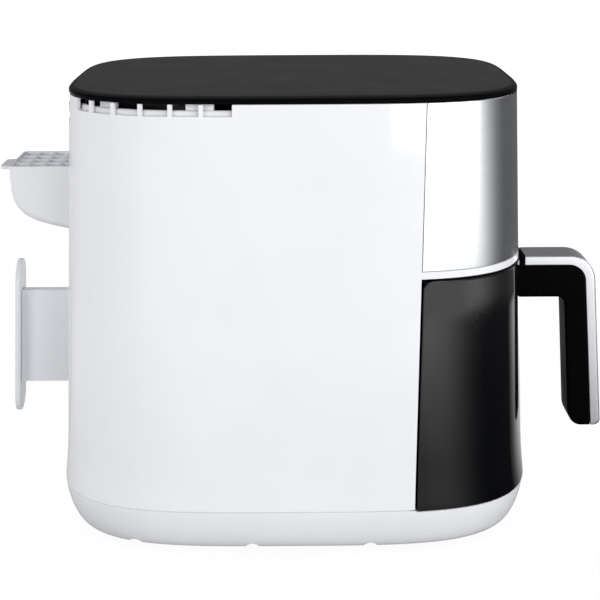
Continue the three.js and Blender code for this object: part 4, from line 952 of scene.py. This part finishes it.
def scoop():
    """Hot air outlet: a scoop with soft outer corners, open at the top."""
    low, high = heights("outlet_hood")
    controls = [Vector((y, low + up, 0)) for y, up in HOOD_CURVE]
    curve = [point.xy for point in interpolate_bezier(*controls, 16)]
    points = [(HOOD_ROOT, low + HOOD_CURVE[0][1]), *curve, (HOOD_REACH, high), (HOOD_ROOT, high)]
    bm = bar(points, lambda y, z: (-HOOD_HALF, y, z), (2 * HOOD_HALF, 0, 0))
    open_faces = [f for f in bm.faces if f.normal.z > 0.99 or f.normal.y < -0.99]
    bmesh.ops.delete(bm, geom=open_faces, context="FACES")

    def on_cheek(edge):
        """The edge lies between two faces and runs along one of the scoop's sides."""
        ends = [vertex.co.x for vertex in edge.verts]
        return len(edge.link_faces) == 2 and abs(sum(ends)) > 2 * HOOD_HALF - 0.2

    round_edges(bm, [edge for edge in bm.edges if on_cheek(edge)], HOOD_ROUNDING, 5)
    merge(bm, 0.02)
    face_away(bm, (0, (HOOD_ROOT + HOOD_REACH) / 2, (low + high) / 2 + HOOD_ROUNDING))
    piece("scoop", bm, WHITE, stands_for=["outlet_hood"], wall=HOOD_WALL, edge=0.5, edge_steps=3)
    scoop_tab(high - TAB_DROP)


def scoop_tab(top):
    """Small finger tab on the scoop's outer face, with a fillet under it."""
    root, end = HOOD_REACH - 1, HOOD_REACH + TAB_REACH
    under = top - TAB_THICKNESS
    fillet = arc(HOOD_REACH + TAB_FILLET, under - TAB_FILLET, TAB_FILLET, 1, 2, 5)
    points = [(root, top), (end, top), (end, under), *fillet, (root, under - TAB_FILLET)]
    bm = bar(points, lambda y, z: (-TAB_HALF, y, z), (2 * TAB_HALF, 0, 0))

    def on_end(edge):
        lower, upper = sorted(vertex.co.z for vertex in edge.verts)
        return upper - lower > 1 and all(abs(vertex.co.y - end) < 0.01 for vertex in edge.verts)

    round_edges(bm, [edge for edge in bm.edges if on_end(edge)], TAB_CORNER, 6)
    piece("scoop_tab", bm, WHITE, edge=0.5)


def scoop_lattice():
    """Lattice of thin bars that lies in the top of the scoop."""
    low, high = span("outlet_grid")
    half_cell = (GRID_ACROSS - GRID_BAR) / 2
    cells = [k * GRID_ACROSS for k in (-1.5, -0.5, 0.5, 1.5)]
    across = [low.x, *(cell + side * half_cell for cell in cells for side in (-1, 1)), high.x]
    along = [high.y]
    for k in range(GRID_ROWS):
        along += [high.y - GAP - k * GRID_ALONG, high.y - GAP - (k + 1) * GRID_ALONG + GRID_BAR]
    along = [y for y in along if y > HOOD_ROOT] + [HOOD_ROOT]

    def on_bar(i, j):
        return i % 2 == 0 or j % 2 == 0

    bm = sheet_of(across, along, lambda x, y: (x, y, high.z - GRID_SUNK), on_bar)
    face_away(bm, (0, HOOD_ROOT, 0))
    piece("scoop_lattice", bm, WHITE, stands_for=["outlet_grid"], wall=GRID_DEPTH, edge=0.3)


WRAP_HALF = 15
WRAP_FLANGE = 3.9
WRAP_LEAN = 0.045
WRAP_HEIGHT = 115.5
WRAP_REACH = 206.5  # outer face of the flange at its middle
WEB_HALF = 4.9
WEB_BOTTOM = 81.5
WEB_TOP = 151.5
WEB_FILLET = 3.5
WEB_SUNK = 0.8  # the post runs this far into the wall and the flange
WEB_LAND = 1


def cord_wrap():
    """Post and flange that the cord is wound on, with soft fillets at both ends of the post."""
    half = WRAP_HEIGHT / 2
    centre = heights("cord_wrap")[1] - half
    outline = rounded_box(-WRAP_HALF, WRAP_HALF, -half, half, WRAP_HALF - 1, 10)
    flange = bar(outline, lambda x, z: (x, 0, z), (0, WRAP_FLANGE, 0))
    bmesh.ops.rotate(flange, verts=flange.verts, cent=(0, 0, 0), matrix=Matrix.Rotation(WRAP_LEAN, 3, "X"))
    bmesh.ops.translate(flange, verts=flange.verts, vec=(0, WRAP_REACH - WRAP_FLANGE, centre))
    piece("cord_flange", flange, WHITE, stands_for=["cord_wrap"], edge=1.0, edge_steps=3)

    def place(corner, z):
        x, share, offset = corner
        wall_y = end_y(0, z, 1) - WEB_SUNK
        flange_y = WRAP_REACH - WRAP_FLANGE - WRAP_LEAN * (z - centre) + WEB_SUNK
        return x, wall_y + share * (flange_y - wall_y) + offset, z

    section = web_section()
    web = close(sheet_of(section + section[:1], spread(WEB_BOTTOM, WEB_TOP, 6), place))
    piece("cord_post", web, WHITE, edge=0.6, edge_steps=3)


def web_section():
    """Plan of the post, (x, share of its length, offset): it widens softly into the wall and the flange."""
    wide, deep = WEB_HALF + WEB_FILLET, WEB_LAND + WEB_FILLET
    side = [(x, 0, offset) for x, offset in arc(wide, deep, WEB_FILLET, 3, 2, 6)]
    side += [(x, 1, offset) for x, offset in arc(wide, -deep, WEB_FILLET, 2, 1, 6)]
    left = [(-x, share, offset) for x, share, offset in side]
    return [(-wide, 0, 0), *left, *reversed(side), (wide, 0, 0)]


GLAND_HOLE = 3.6
GLAND_RING = 2
GLAND_ROUND = 1.5
GLAND_CHAMFER = 1.2


def cord_gland():
    """Ring in the rear wall that the cord leaves through."""
    low, high = span("cord_gland")
    centre = centre_of("cord_gland")
    radius, neck = (high.x - low.x) / 2, (high.x - low.x) / 2 - GLAND_RING
    front = end_y(centre.x, centre.z, 1) - 1
    profile = [(GLAND_HOLE, low.y), (neck, low.y), (neck, front), (radius, front)]
    profile += arc(radius - GLAND_ROUND, high.y - GLAND_ROUND, GLAND_ROUND, 0, 1, 4)
    profile += [(GLAND_HOLE + GLAND_CHAMFER, high.y), (GLAND_HOLE, high.y - GLAND_CHAMFER)]
    profile += profile[:1]
    shape = turned(profile, (centre.x, 0, centre.z), 36, "Y")
    piece("gland_ring", shape, MATT_BLACK, stands_for=["cord_gland"], edge=0.2)


# ---- cooking space ----

SHEET = 1.2
CAVITY_HALF = 121
CAVITY_REAR = 134
CAVITY_CORNER = 25
OPENING_CORNER = 12
OPENING_ROOM = 5.8  # over the pan
PORT_RADIUS = 3  # of the hole for the switch's plunger
ROOF_HOLE = 84
FAN_Y = 24


def split_outline(low, high, shift, margin, corner, steps):
    """Outline, (x, z), of a plate that fills the body at the split, moved by shift along Y."""
    left = [[margin - side_x(split_at(z) + shift, z), z, 0] for z in spread(low, high, steps)]
    left[0][2] = left[-1][2] = corner
    return rounded(left + [(-x, z, radius) for x, z, radius in reversed(left)], 5)


def front_plate():
    """Plate behind the drawer front, with the opening that the pan slides through."""
    outline = split_outline(*heights("front_frame"), 0, WALL + GAP, 0, 12)
    sill, top = heights("cavity_liner")[0] + SHEET, heights("drawer_pan")[1] + OPENING_ROOM
    opening = rounded_box(-CAVITY_HALF, CAVITY_HALF, sill, top, OPENING_CORNER, 8)
    switch = centre_of("switch_plunger")
    port = circle(switch.x, switch.z, PORT_RADIUS, 24)
    bm = holed_plate(outline, [opening, port], lambda x, z: (x, split_at(z), z))
    face_away(bm)
    piece("front_plate", bm, MATT_BLACK, stands_for=["front_frame"], wall=WALL, edge=0.6)


def oven_box():
    """Folded steel box that the pan slides into, open to the front and up to the fan."""
    low, high = span("cavity_liner")
    corners = [(-CAVITY_HALF, low.y, 0), (CAVITY_HALF, low.y, 0)]
    corners += [(CAVITY_HALF, CAVITY_REAR, CAVITY_CORNER), (-CAVITY_HALF, CAVITY_REAR, CAVITY_CORNER)]
    plan = rounded(corners, 12)
    rows = (low.z + SHEET, high.z - SHEET)
    bm = holed_plate(plan, [circle(0, FAN_Y, ROOF_HOLE, 72)], lambda x, y: (x, y, rows[1]))
    flat_face(bm, plan, lambda x, y: (x, y, rows[0]))
    add_shape(bm, sheet_of(plan[1:] + plan[:1], rows, lambda point, z: (*point, z)))
    merge(bm)
    face_away(bm, (0, FAN_Y, sum(rows) / 2))
    bmesh.ops.reverse_faces(bm, faces=bm.faces)
    piece("oven_box", bm, ALUMINIUM, stands_for=["cavity_liner"], wall=SHEET, edge=0.3)


# ---- drawer ----

DRAWER_PROUD = 0.6
DRAWER_LIFT = 0.8
DRAWER_WALL = 3
DRAWER_CORNER = 5
DRAWER_FINE = (1.2, 2.4, 3.6, 4.8, 6)  # columns this far from the rear edge round its corners
DRAWER_EVEN = 30  # past this run the columns no longer follow the rear edge
PLATE_CORNER = 3
PLATE_PANEL = (96, 12, 10)  # half width, margin and corner of the inner plate's pressed panel
PLATE_PRESS = 0.9


def drawer_shell():
    """Gloss black drawer front: a deep tray on its side with rounded upper rear corners."""
    low, high = heights("drawer_front")
    low += DRAWER_LIFT
    bend_start = high - DRAWER_CORNER
    rows = [low, *FLARE_RINGS, *(z for _, z in arc(0, bend_start, DRAWER_CORNER, 0, 1, 8))]

    def rear_edge(z):
        up = max(z - bend_start, 0)
        return split_at(z) - RUNNING_GAP - DRAWER_CORNER + math.sqrt(DRAWER_CORNER ** 2 - up ** 2)

    base = 100  # height at which the columns are spaced
    first, far, *fine = (side_angle(rear_edge(base) - run, base) for run in (0, DRAWER_EVEN, *DRAWER_FINE))
    columns = columns_from(first, *fine)

    def place(angle, z):
        share = float(np.interp(angle, [first, far], [1, 0]))
        return on_outline(angle + share * (side_angle(rear_edge(z), z) - first), z, -DRAWER_PROUD)

    bm = mirror_over(sheet_of(columns, rows, place))
    cap(bm, low)
    cap(bm, high)
    face_away(bm, (0, SPLIT_AT_LID, (low + high) / 2))
    piece(
        "drawer_shell", bm, GLOSS_BLACK, body="drawer",
        stands_for=["drawer_front"], wall=DRAWER_WALL, edge=0.9, edge_steps=4,
    )


def drawer_plate():
    """Inner plate that closes the drawer front towards the housing."""
    low, high = heights("drawer_back")
    outline = split_outline(low, high, -RUNNING_GAP, DRAWER_WALL + GAP, PLATE_CORNER, 10)
    half, inset, radius = PLATE_PANEL
    panel = rounded_box(-half, half, low + inset, high - inset, radius, 8)

    def put(x, z):
        return x, split_at(z) - RUNNING_GAP, z

    bm = holed_plate(outline, [panel], put)
    recessed = flat_face(bm, panel, put)
    merge(bm)
    stretch(bm, recessed, (0, -PLATE_PRESS, 0))
    if recessed.is_valid:
        bmesh.ops.delete(bm, geom=[recessed], context="FACES_ONLY")
    face_away(bm, (0, -2 * HALF_LENGTH, (low + high) / 2))
    piece(
        "drawer_plate", bm, MATT_BLACK, body="drawer",
        stands_for=["drawer_back"], wall=WALL, edge=0.4,
    )


PAN_HALF = 112
PAN_FRONT = -80.31
PAN_REAR = 126
PAN_CORNER = 22
PAN_WALL = 1.5
PAN_RIM = 6
PAN_BEND = 9  # radius between the pan's floor and its walls
PAN_MIDDLE = (PAN_FRONT + PAN_REAR) / 2


def pan_outline(grow):
    box = (-PAN_HALF - grow, PAN_HALF + grow, PAN_FRONT - grow, PAN_REAR + grow)
    return rounded_box(*box, PAN_CORNER + grow, 12)


def pan():
    """Deep drawn pan with rounded corners and a turned-out rim, coated all over."""
    low, high = heights("drawer_pan")
    rim = high - PAN_WALL
    steps = arc(-PAN_BEND, low + PAN_BEND, PAN_BEND, -1, 0, 6)
    steps += [(0, (low + high) / 2), (0, rim - 2), (0.5, rim - 0.6)]
    rings = [(pan_outline(grow), z) for grow, z in steps]
    flange = (-PAN_HALF - PAN_RIM, PAN_HALF + PAN_RIM, PAN_FRONT - 0.6, PAN_REAR + PAN_RIM / 2)
    rings.append((rounded_box(*flange, PAN_CORNER, 12), rim))
    count = len(rings[0][0])
    bm = sheet_of(range(count + 1), rings, lambda k, ring: (*ring[0][k % count], ring[1]))
    merge(bm)
    cap(bm, low)
    face_away(bm, (0, PAN_MIDDLE, high))
    piece("pan", bm, COATING, body="drawer", stands_for=["drawer_pan"], wall=PAN_WALL, edge=0.4)


PLATE_SLOT = (32, 9)
PLATE_SLOT_GAP = 12
PLATE_ROOM = 3.5  # between the plate and the pan's wall
BUMPERS = [f"plate_bumper_{k}" for k in (1, 2, 3, 4)]
BUMPER_HOLE = 3.3


def crisper_plate():
    """Perforated plate that the food lies on."""
    low, high = heights("crisper_plate")
    half_x, half_y = PLATE_SLOT[0] / 2, PLATE_SLOT[1] / 2
    holes = []
    for i in (-1, 0, 1):
        for j in range(-3, 4):
            x, y = i * (PLATE_SLOT[0] + PLATE_SLOT_GAP), PAN_MIDDLE + j * (PLATE_SLOT[1] + PLATE_SLOT_GAP)
            holes.append(rounded_box(x - half_x, x + half_x, y - half_y, y + half_y, half_y - 0.1, 5))
    holes += [circle(*centre_of(name).xy, BUMPER_HOLE, 20) for name in BUMPERS]
    bm = holed_plate(pan_outline(-PAN_WALL - PLATE_ROOM), holes, lambda x, y: (x, y, high))
    face_away(bm, (0, PAN_MIDDLE, 0))
    piece(
        "perforated_plate", bm, COATING, body="crisper",
        stands_for=["crisper_plate"], wall=high - low, edge=0.4,
    )


def bumpers():
    """Silicone feet that keep the plate off the pan, each with a neck through it and a head over it."""
    under, over = heights("crisper_plate")
    for k, name in enumerate(BUMPERS, 1):
        low, high = heights(name)
        centre = centre_of(name)
        profile = [(0, low), (4.2, low), (5, low + 0.8), (5, under - 0.9), (4.6, under - GAP)]
        profile += [(3, under - GAP), (3, over + GAP), (4.6, over + GAP), (4, over + 1), (2, high), (0, high)]
        shape = turned(profile, (centre.x, centre.y, 0), 24)
        piece(f"plate_foot_{k}", shape, RUBBER, body="crisper", stands_for=[name])


# ---- handle ----

HANDLE_HALF = 16
HANDLE_FACE_AT_TOP = -220.4
HANDLE_LEAN = 0.067
HANDLE_DEPTH = 23
TIP_GROWTH = 1.2  # the grip is this much deeper at its tip
HANDLE_CORNER = 20
NECK_HEIGHT = 31.6
NECK_CORNER = 6
TIP_ROUND = (9, 14)  # along Y and up
TRIM = 7.6
TRIM_FOOT = 4  # rounding of the strip's lower end
TRIM_START = -HALF_LENGTH - 13
GRIP_ROUNDING, TRIM_ROUNDING = (0, 2.5), (2.4, 0.8)  # of the outer and inner long edges
BEND_STEPS = 9
HANDLE_LOW, HANDLE_HIGH = heights("handle_grip")


def handle_face(z):
    return HANDLE_FACE_AT_TOP - HANDLE_LEAN * (HANDLE_HIGH - HANDLE_CORNER - z)


def bar_between(outside, inside, roundings):
    """A bar whose outer and inner faces follow two lines, (y, z), with its long edges rounded."""
    ring = []
    for from_inside, side in ((0, -1), (0, 1), (1, 1), (1, -1)):
        radius = roundings[from_inside]
        edge = arc(HANDLE_HALF - radius, radius, radius, 0, -1, 4) if radius else [(HANDLE_HALF, 0)]
        climbs = (from_inside == 0) == (side < 0)
        ring += [(side * x, depth, from_inside) for x, depth in (edge if climbs else reversed(edge))]

    def place(corner, ends):
        x, depth, from_inside = corner
        outer, inner = map(Vector, ends)
        way = (inner - outer).normalized()
        point = inner - way * depth if from_inside else outer + way * depth
        return x, point.x, point.y

    return close(sheet_of(ring + ring[:1], list(zip(outside, inside)), place))


def falling(start, fall, depth):
    """Points down the handle's face from a height, (y, z), set back by depth."""
    return [(handle_face(z) + depth, z) for z in spread(start, start - fall, BEND_STEPS)]


def handle():
    """Matt black grip with a collar at the drawer, and the silver strip on its top and outer face."""
    low, high = HANDLE_LOW, HANDLE_HIGH
    neck, inset = high - NECK_HEIGHT, TRIM + GAP
    top, bottom = high - HANDLE_CORNER, low + TIP_ROUND[1]
    wall_top, wall_low = (end_y(0, z, -1) - DRAWER_PROUD - GAP for z in (high, neck))
    collar = TRIM_START + GAP
    corner = (handle_face(top) + HANDLE_CORNER, top)
    hollow = (handle_face(neck) + HANDLE_DEPTH + NECK_CORNER, neck - NECK_CORNER)
    tip = (handle_face(bottom) + HANDLE_DEPTH + TIP_GROWTH - TIP_ROUND[0], bottom)
    outside = [(wall_top, high), (collar, high), (collar, high - inset)]
    outside += arc(*corner, HANDLE_CORNER - inset, 1, 2, BEND_STEPS) + falling(bottom, TIP_ROUND[1], inset)
    inside = [(wall_low, neck), (collar, neck), (collar - 0.01, neck)]
    inside += arc(*hollow, NECK_CORNER, 1, 2, BEND_STEPS) + arc(*tip, TIP_ROUND, 0, -1, BEND_STEPS)
    piece(
        "grip", bar_between(outside, inside, GRIP_ROUNDING), MATT_BLACK, body="drawer",
        stands_for=["handle_grip"], edge=0.8, edge_steps=3,
    )

    foot = low + TRIM_FOOT
    outside = [(TRIM_START, high), *arc(*corner, HANDLE_CORNER, 1, 2, BEND_STEPS)]
    outside += arc(handle_face(foot) + TRIM_FOOT, foot, TRIM_FOOT, 2, 3, BEND_STEPS)
    inside = [(TRIM_START, high - TRIM), *arc(*corner, HANDLE_CORNER - TRIM, 1, 2, BEND_STEPS)]
    inside += falling(foot, TRIM_FOOT, TRIM)
    piece(
        "grip_strip", bar_between(outside, inside, TRIM_ROUNDING), SILVER, body="drawer",
        stands_for=["handle_trim"], edge=0.6,
    )


# ---- frame nodes that keep their shape ----


def finish_frame_nodes():
    """Frame nodes that are shown as they are get the finish of their record slot."""
    finishes = {SLOT_OF[made.name]: made for made in (STEEL, ALUMINIUM, MATT_BLACK, BOARD, WINDING, WHITE)}
    slots = {part["node"]: part["material_slot"] for part in frame["record"]["subparts"]}
    for name, shown in frame["nodes"].items():
        if not shown.hide_render:
            for place in shown.material_slots:
                place.material = finishes[slots[name]]


# ---- floor, light and camera ----

CAMERA_PLACE = (-1.21845, 0.00992, 0.43558)
CAMERA_PITCH = 13.573  # degrees below the horizon
CAMERA_YAW = -0.298
CAMERA_ROLL = -0.275
LENS = 101.25
SENSOR = 36


def camera():
    pitch, yaw, roll = (math.radians(a) for a in (CAMERA_PITCH, CAMERA_YAW, CAMERA_ROLL))
    level = math.cos(pitch)
    aim = Vector((level * math.cos(yaw), level * math.sin(yaw), -math.sin(pitch)))
    upright = aim.to_track_quat("-Z", "Y").to_matrix().to_4x4()
    made = linked("camera", bpy.data.cameras.new("camera"))
    made.data.lens, made.data.sensor_width = LENS, SENSOR
    made.data.clip_start, made.data.clip_end = 0.05, 60
    made.matrix_world = Matrix.Translation(CAMERA_PLACE) @ upright @ Matrix.Rotation(roll, 4, "Z")
    bpy.context.scene.camera = made


FLOOR_GLOW = 1.11
FLOOR_WHITE = 0.85  # share of the floor's look near the object that shadows don't reach
FLOOR_SHADED = (0.5, 1.5)  # metres from the middle over which the shadows fade out
FLOOR_TONE = 0.5
FLOOR_REACH = 14
FLOOR_CORNER = (-0.12, -0.13, 0)  # the body's front left corner
# What mirrors see of the floor: brightness by direction from that corner, in degrees from -X towards -Y.
FLOOR_CARD = (
    (-180, 0.35), (-135, 0.35), (-115, 0.5), (-60, 0.5), (-35, 0.8), (8, 0.8), (16, 1), (24, 1), (31, 0.88),
    (40, 0.57), (52, 0.24), (62, 0.09), (74, 0.02), (124, 0.02), (136, 0.5), (146, 1), (180, 1),
)
CARD_TURN = 40  # degrees that the far floor is turned on, past the near part
CARD_FAR = (0.77, 0.86)  # metres from the corner where it turns
CARD_FAR_LIFT = 0.17  # no part of the far floor is quite black
CARD_NEAR, CARD_LEVELS = (0.1, 0.68), (0.3, 1.85)  # dimmer near the object, brighter away from it
MATHS, VECTORS, RANGE = "ShaderNodeMath", "ShaderNodeVectorMath", "ShaderNodeMapRange"


def seen_straight(tree, path):
    """1 where the camera sees the surface itself, or through glass."""
    straight = {0: path.outputs["Is Camera Ray"], 1: path.outputs["Is Transmission Ray"]}
    return node(tree, MATHS, links=straight, operation="MAXIMUM")


def pale_floor():
    """Matt white floor with the object's shadow faint on it, and a soft dark card for mirrors in front."""
    material = bpy.data.materials.new("pale matt floor")
    material.use_nodes = True
    tree = material.node_tree
    tree.nodes.clear()
    where = node(tree, "ShaderNodeTexCoord").outputs["Object"]
    path = node(tree, "ShaderNodeLightPath")
    glossy = path.outputs["Is Glossy Ray"]
    away = node(tree, VECTORS, links={0: where}, operation="LENGTH").outputs[1]
    fading = {"From Min": FLOOR_SHADED[0], "From Max": FLOOR_SHADED[1], "To Min": FLOOR_WHITE}
    unshaded = node(tree, RANGE, fading, {"Value": away})
    kept = node(tree, MATHS, links={0: seen_straight(tree, path), 1: unshaded}, operation="MULTIPLY")
    share = node(tree, MATHS, links={0: kept, 1: glossy}, operation="MAXIMUM")

    run = node(tree, VECTORS, {0: FLOOR_CORNER}, {1: where}, operation="SUBTRACT")
    parts = node(tree, "ShaderNodeSeparateXYZ", links={0: run})
    turn = node(tree, MATHS, links={0: parts.outputs[1], 1: parts.outputs[0]}, operation="ARCTAN2")
    reach = node(tree, VECTORS, links={0: run}, operation="LENGTH").outputs[1]
    beyond = {"From Min": CARD_FAR[0], "From Max": CARD_FAR[1], "To Max": math.radians(CARD_TURN)}
    far = node(tree, RANGE, beyond, {"Value": reach})
    ahead = node(tree, MATHS, {1: 0.0}, {0: turn}, operation="GREATER_THAN")
    turned_on = node(tree, MATHS, links={0: far, 1: ahead}, operation="MULTIPLY")
    facing = node(tree, MATHS, links={0: turn, 1: turned_on}, operation="SUBTRACT")
    along = node(tree, RANGE, {"From Min": -math.pi, "From Max": math.pi}, {"Value": facing})
    card = node(tree, "ShaderNodeValToRGB", links={0: along})
    stops = card.color_ramp.elements
    stops.remove(stops[0])
    for number, (degrees, level) in enumerate(FLOOR_CARD):
        stop = stops.new((degrees + 180) / 360) if number else stops[0]
        stop.position = (degrees + 180) / 360
        stop.color = (level, level, level, 1)
    levels = dict(zip(("From Min", "From Max", "To Min", "To Max"), CARD_NEAR + CARD_LEVELS))
    brighter = node(tree, RANGE, levels, {"Value": reach})
    mirrored = node(tree, MATHS, links={0: card, 1: brighter}, operation="MULTIPLY")
    lift = {0: turned_on, 2: mirrored}
    lifted = node(tree, MATHS, {1: CARD_FAR_LIFT}, lift, operation="MULTIPLY_ADD")

    strength = node(tree, "ShaderNodeMix", {2: FLOOR_GLOW}, {0: glossy, 3: lifted})
    lit = node(tree, "ShaderNodeBsdfDiffuse", {"Color": (FLOOR_TONE, FLOOR_TONE, FLOOR_TONE, 1)})
    glow = node(tree, "ShaderNodeEmission", links={"Strength": strength})
    mixed = node(tree, "ShaderNodeMixShader", links={0: share, 1: lit, 2: glow})
    node(tree, "ShaderNodeOutputMaterial", links={"Surface": mixed})
    return material


def floor():
    """One wide sheet that belongs to the set, not to the object."""
    bm = bmesh.new()
    flat_face(bm, [(-1, -1), (1, -1), (1, 1), (-1, 1)], lambda x, y: (x * FLOOR_REACH, y * FLOOR_REACH, 0))
    shaped("studio_floor", bm, pale_floor())


WORLD_LIGHT = 0.36
WORLD_IN_MIRRORS = 0.16


def world():
    """White surroundings as seen, a soft fill as light, and dim in reflections."""
    made = bpy.data.worlds.new("studio")
    made.use_nodes = True
    bpy.context.scene.world = made
    tree = made.node_tree
    path = node(tree, "ShaderNodeLightPath")
    seen = seen_straight(tree, path)
    glossy = path.outputs["Is Glossy Ray"]
    unseen = node(tree, "ShaderNodeMix", {2: WORLD_LIGHT, 3: WORLD_IN_MIRRORS}, {0: glossy})
    strength = node(tree, "ShaderNodeMix", {3: 1.0}, {0: seen, 2: unseen})
    background = tree.nodes["Background"]
    background.inputs["Color"].default_value = (1, 1, 1, 1)
    tree.links.new(strength.outputs[0], background.inputs["Strength"])


LAMP_TARGET = Vector((0, 0, 0.16))


def lamp(name, place, size, power, in_mirrors=True):
    """A soft rectangular lamp aimed at the object."""
    made = linked(name, bpy.data.lights.new(name, "AREA"))
    made.data.shape, made.data.size, made.data.size_y = "RECTANGLE", *size
    made.data.energy = power
    made.location = place
    made.rotation_euler = (LAMP_TARGET - Vector(place)).to_track_quat("-Z", "Y").to_euler()
    made.visible_glossy = in_mirrors


def studio():
    lamp("side softbox", (-1.75, -1.5, 0.64), (2.6, 1.4), 36)
    lamp("rear side fill", (-2.0, 1.5, 0.9), (1.2, 1.2), 18.5, in_mirrors=False)
    lamp("right softbox", (2.3, 0.2, 1.1), (1.6, 1.4), 28, in_mirrors=False)
    lamp("rear softbox", (0.5, 2.5, 1.2), (1.6, 1.4), 18, in_mirrors=False)
    lamp("front softbox", (0.7, -2.5, 1.5), (1.6, 1.0), 14)


# ---- assembly ----

base_bowl()
base_chin()
feet()
housing_wall()
front_shelf()
intake_channels()
top_lid()
steel_face()
touch_panel()
touch_marks()
rear_grille()
scoop()
scoop_lattice()
cord_wrap()
cord_gland()
front_plate()
oven_box()
drawer_shell()
drawer_plate()
pan()
crisper_plate()
bumpers()
handle()
finish_frame_nodes()
camera()
floor()
world()
studio()
bpy.context.scene.view_settings.view_transform = "Standard"
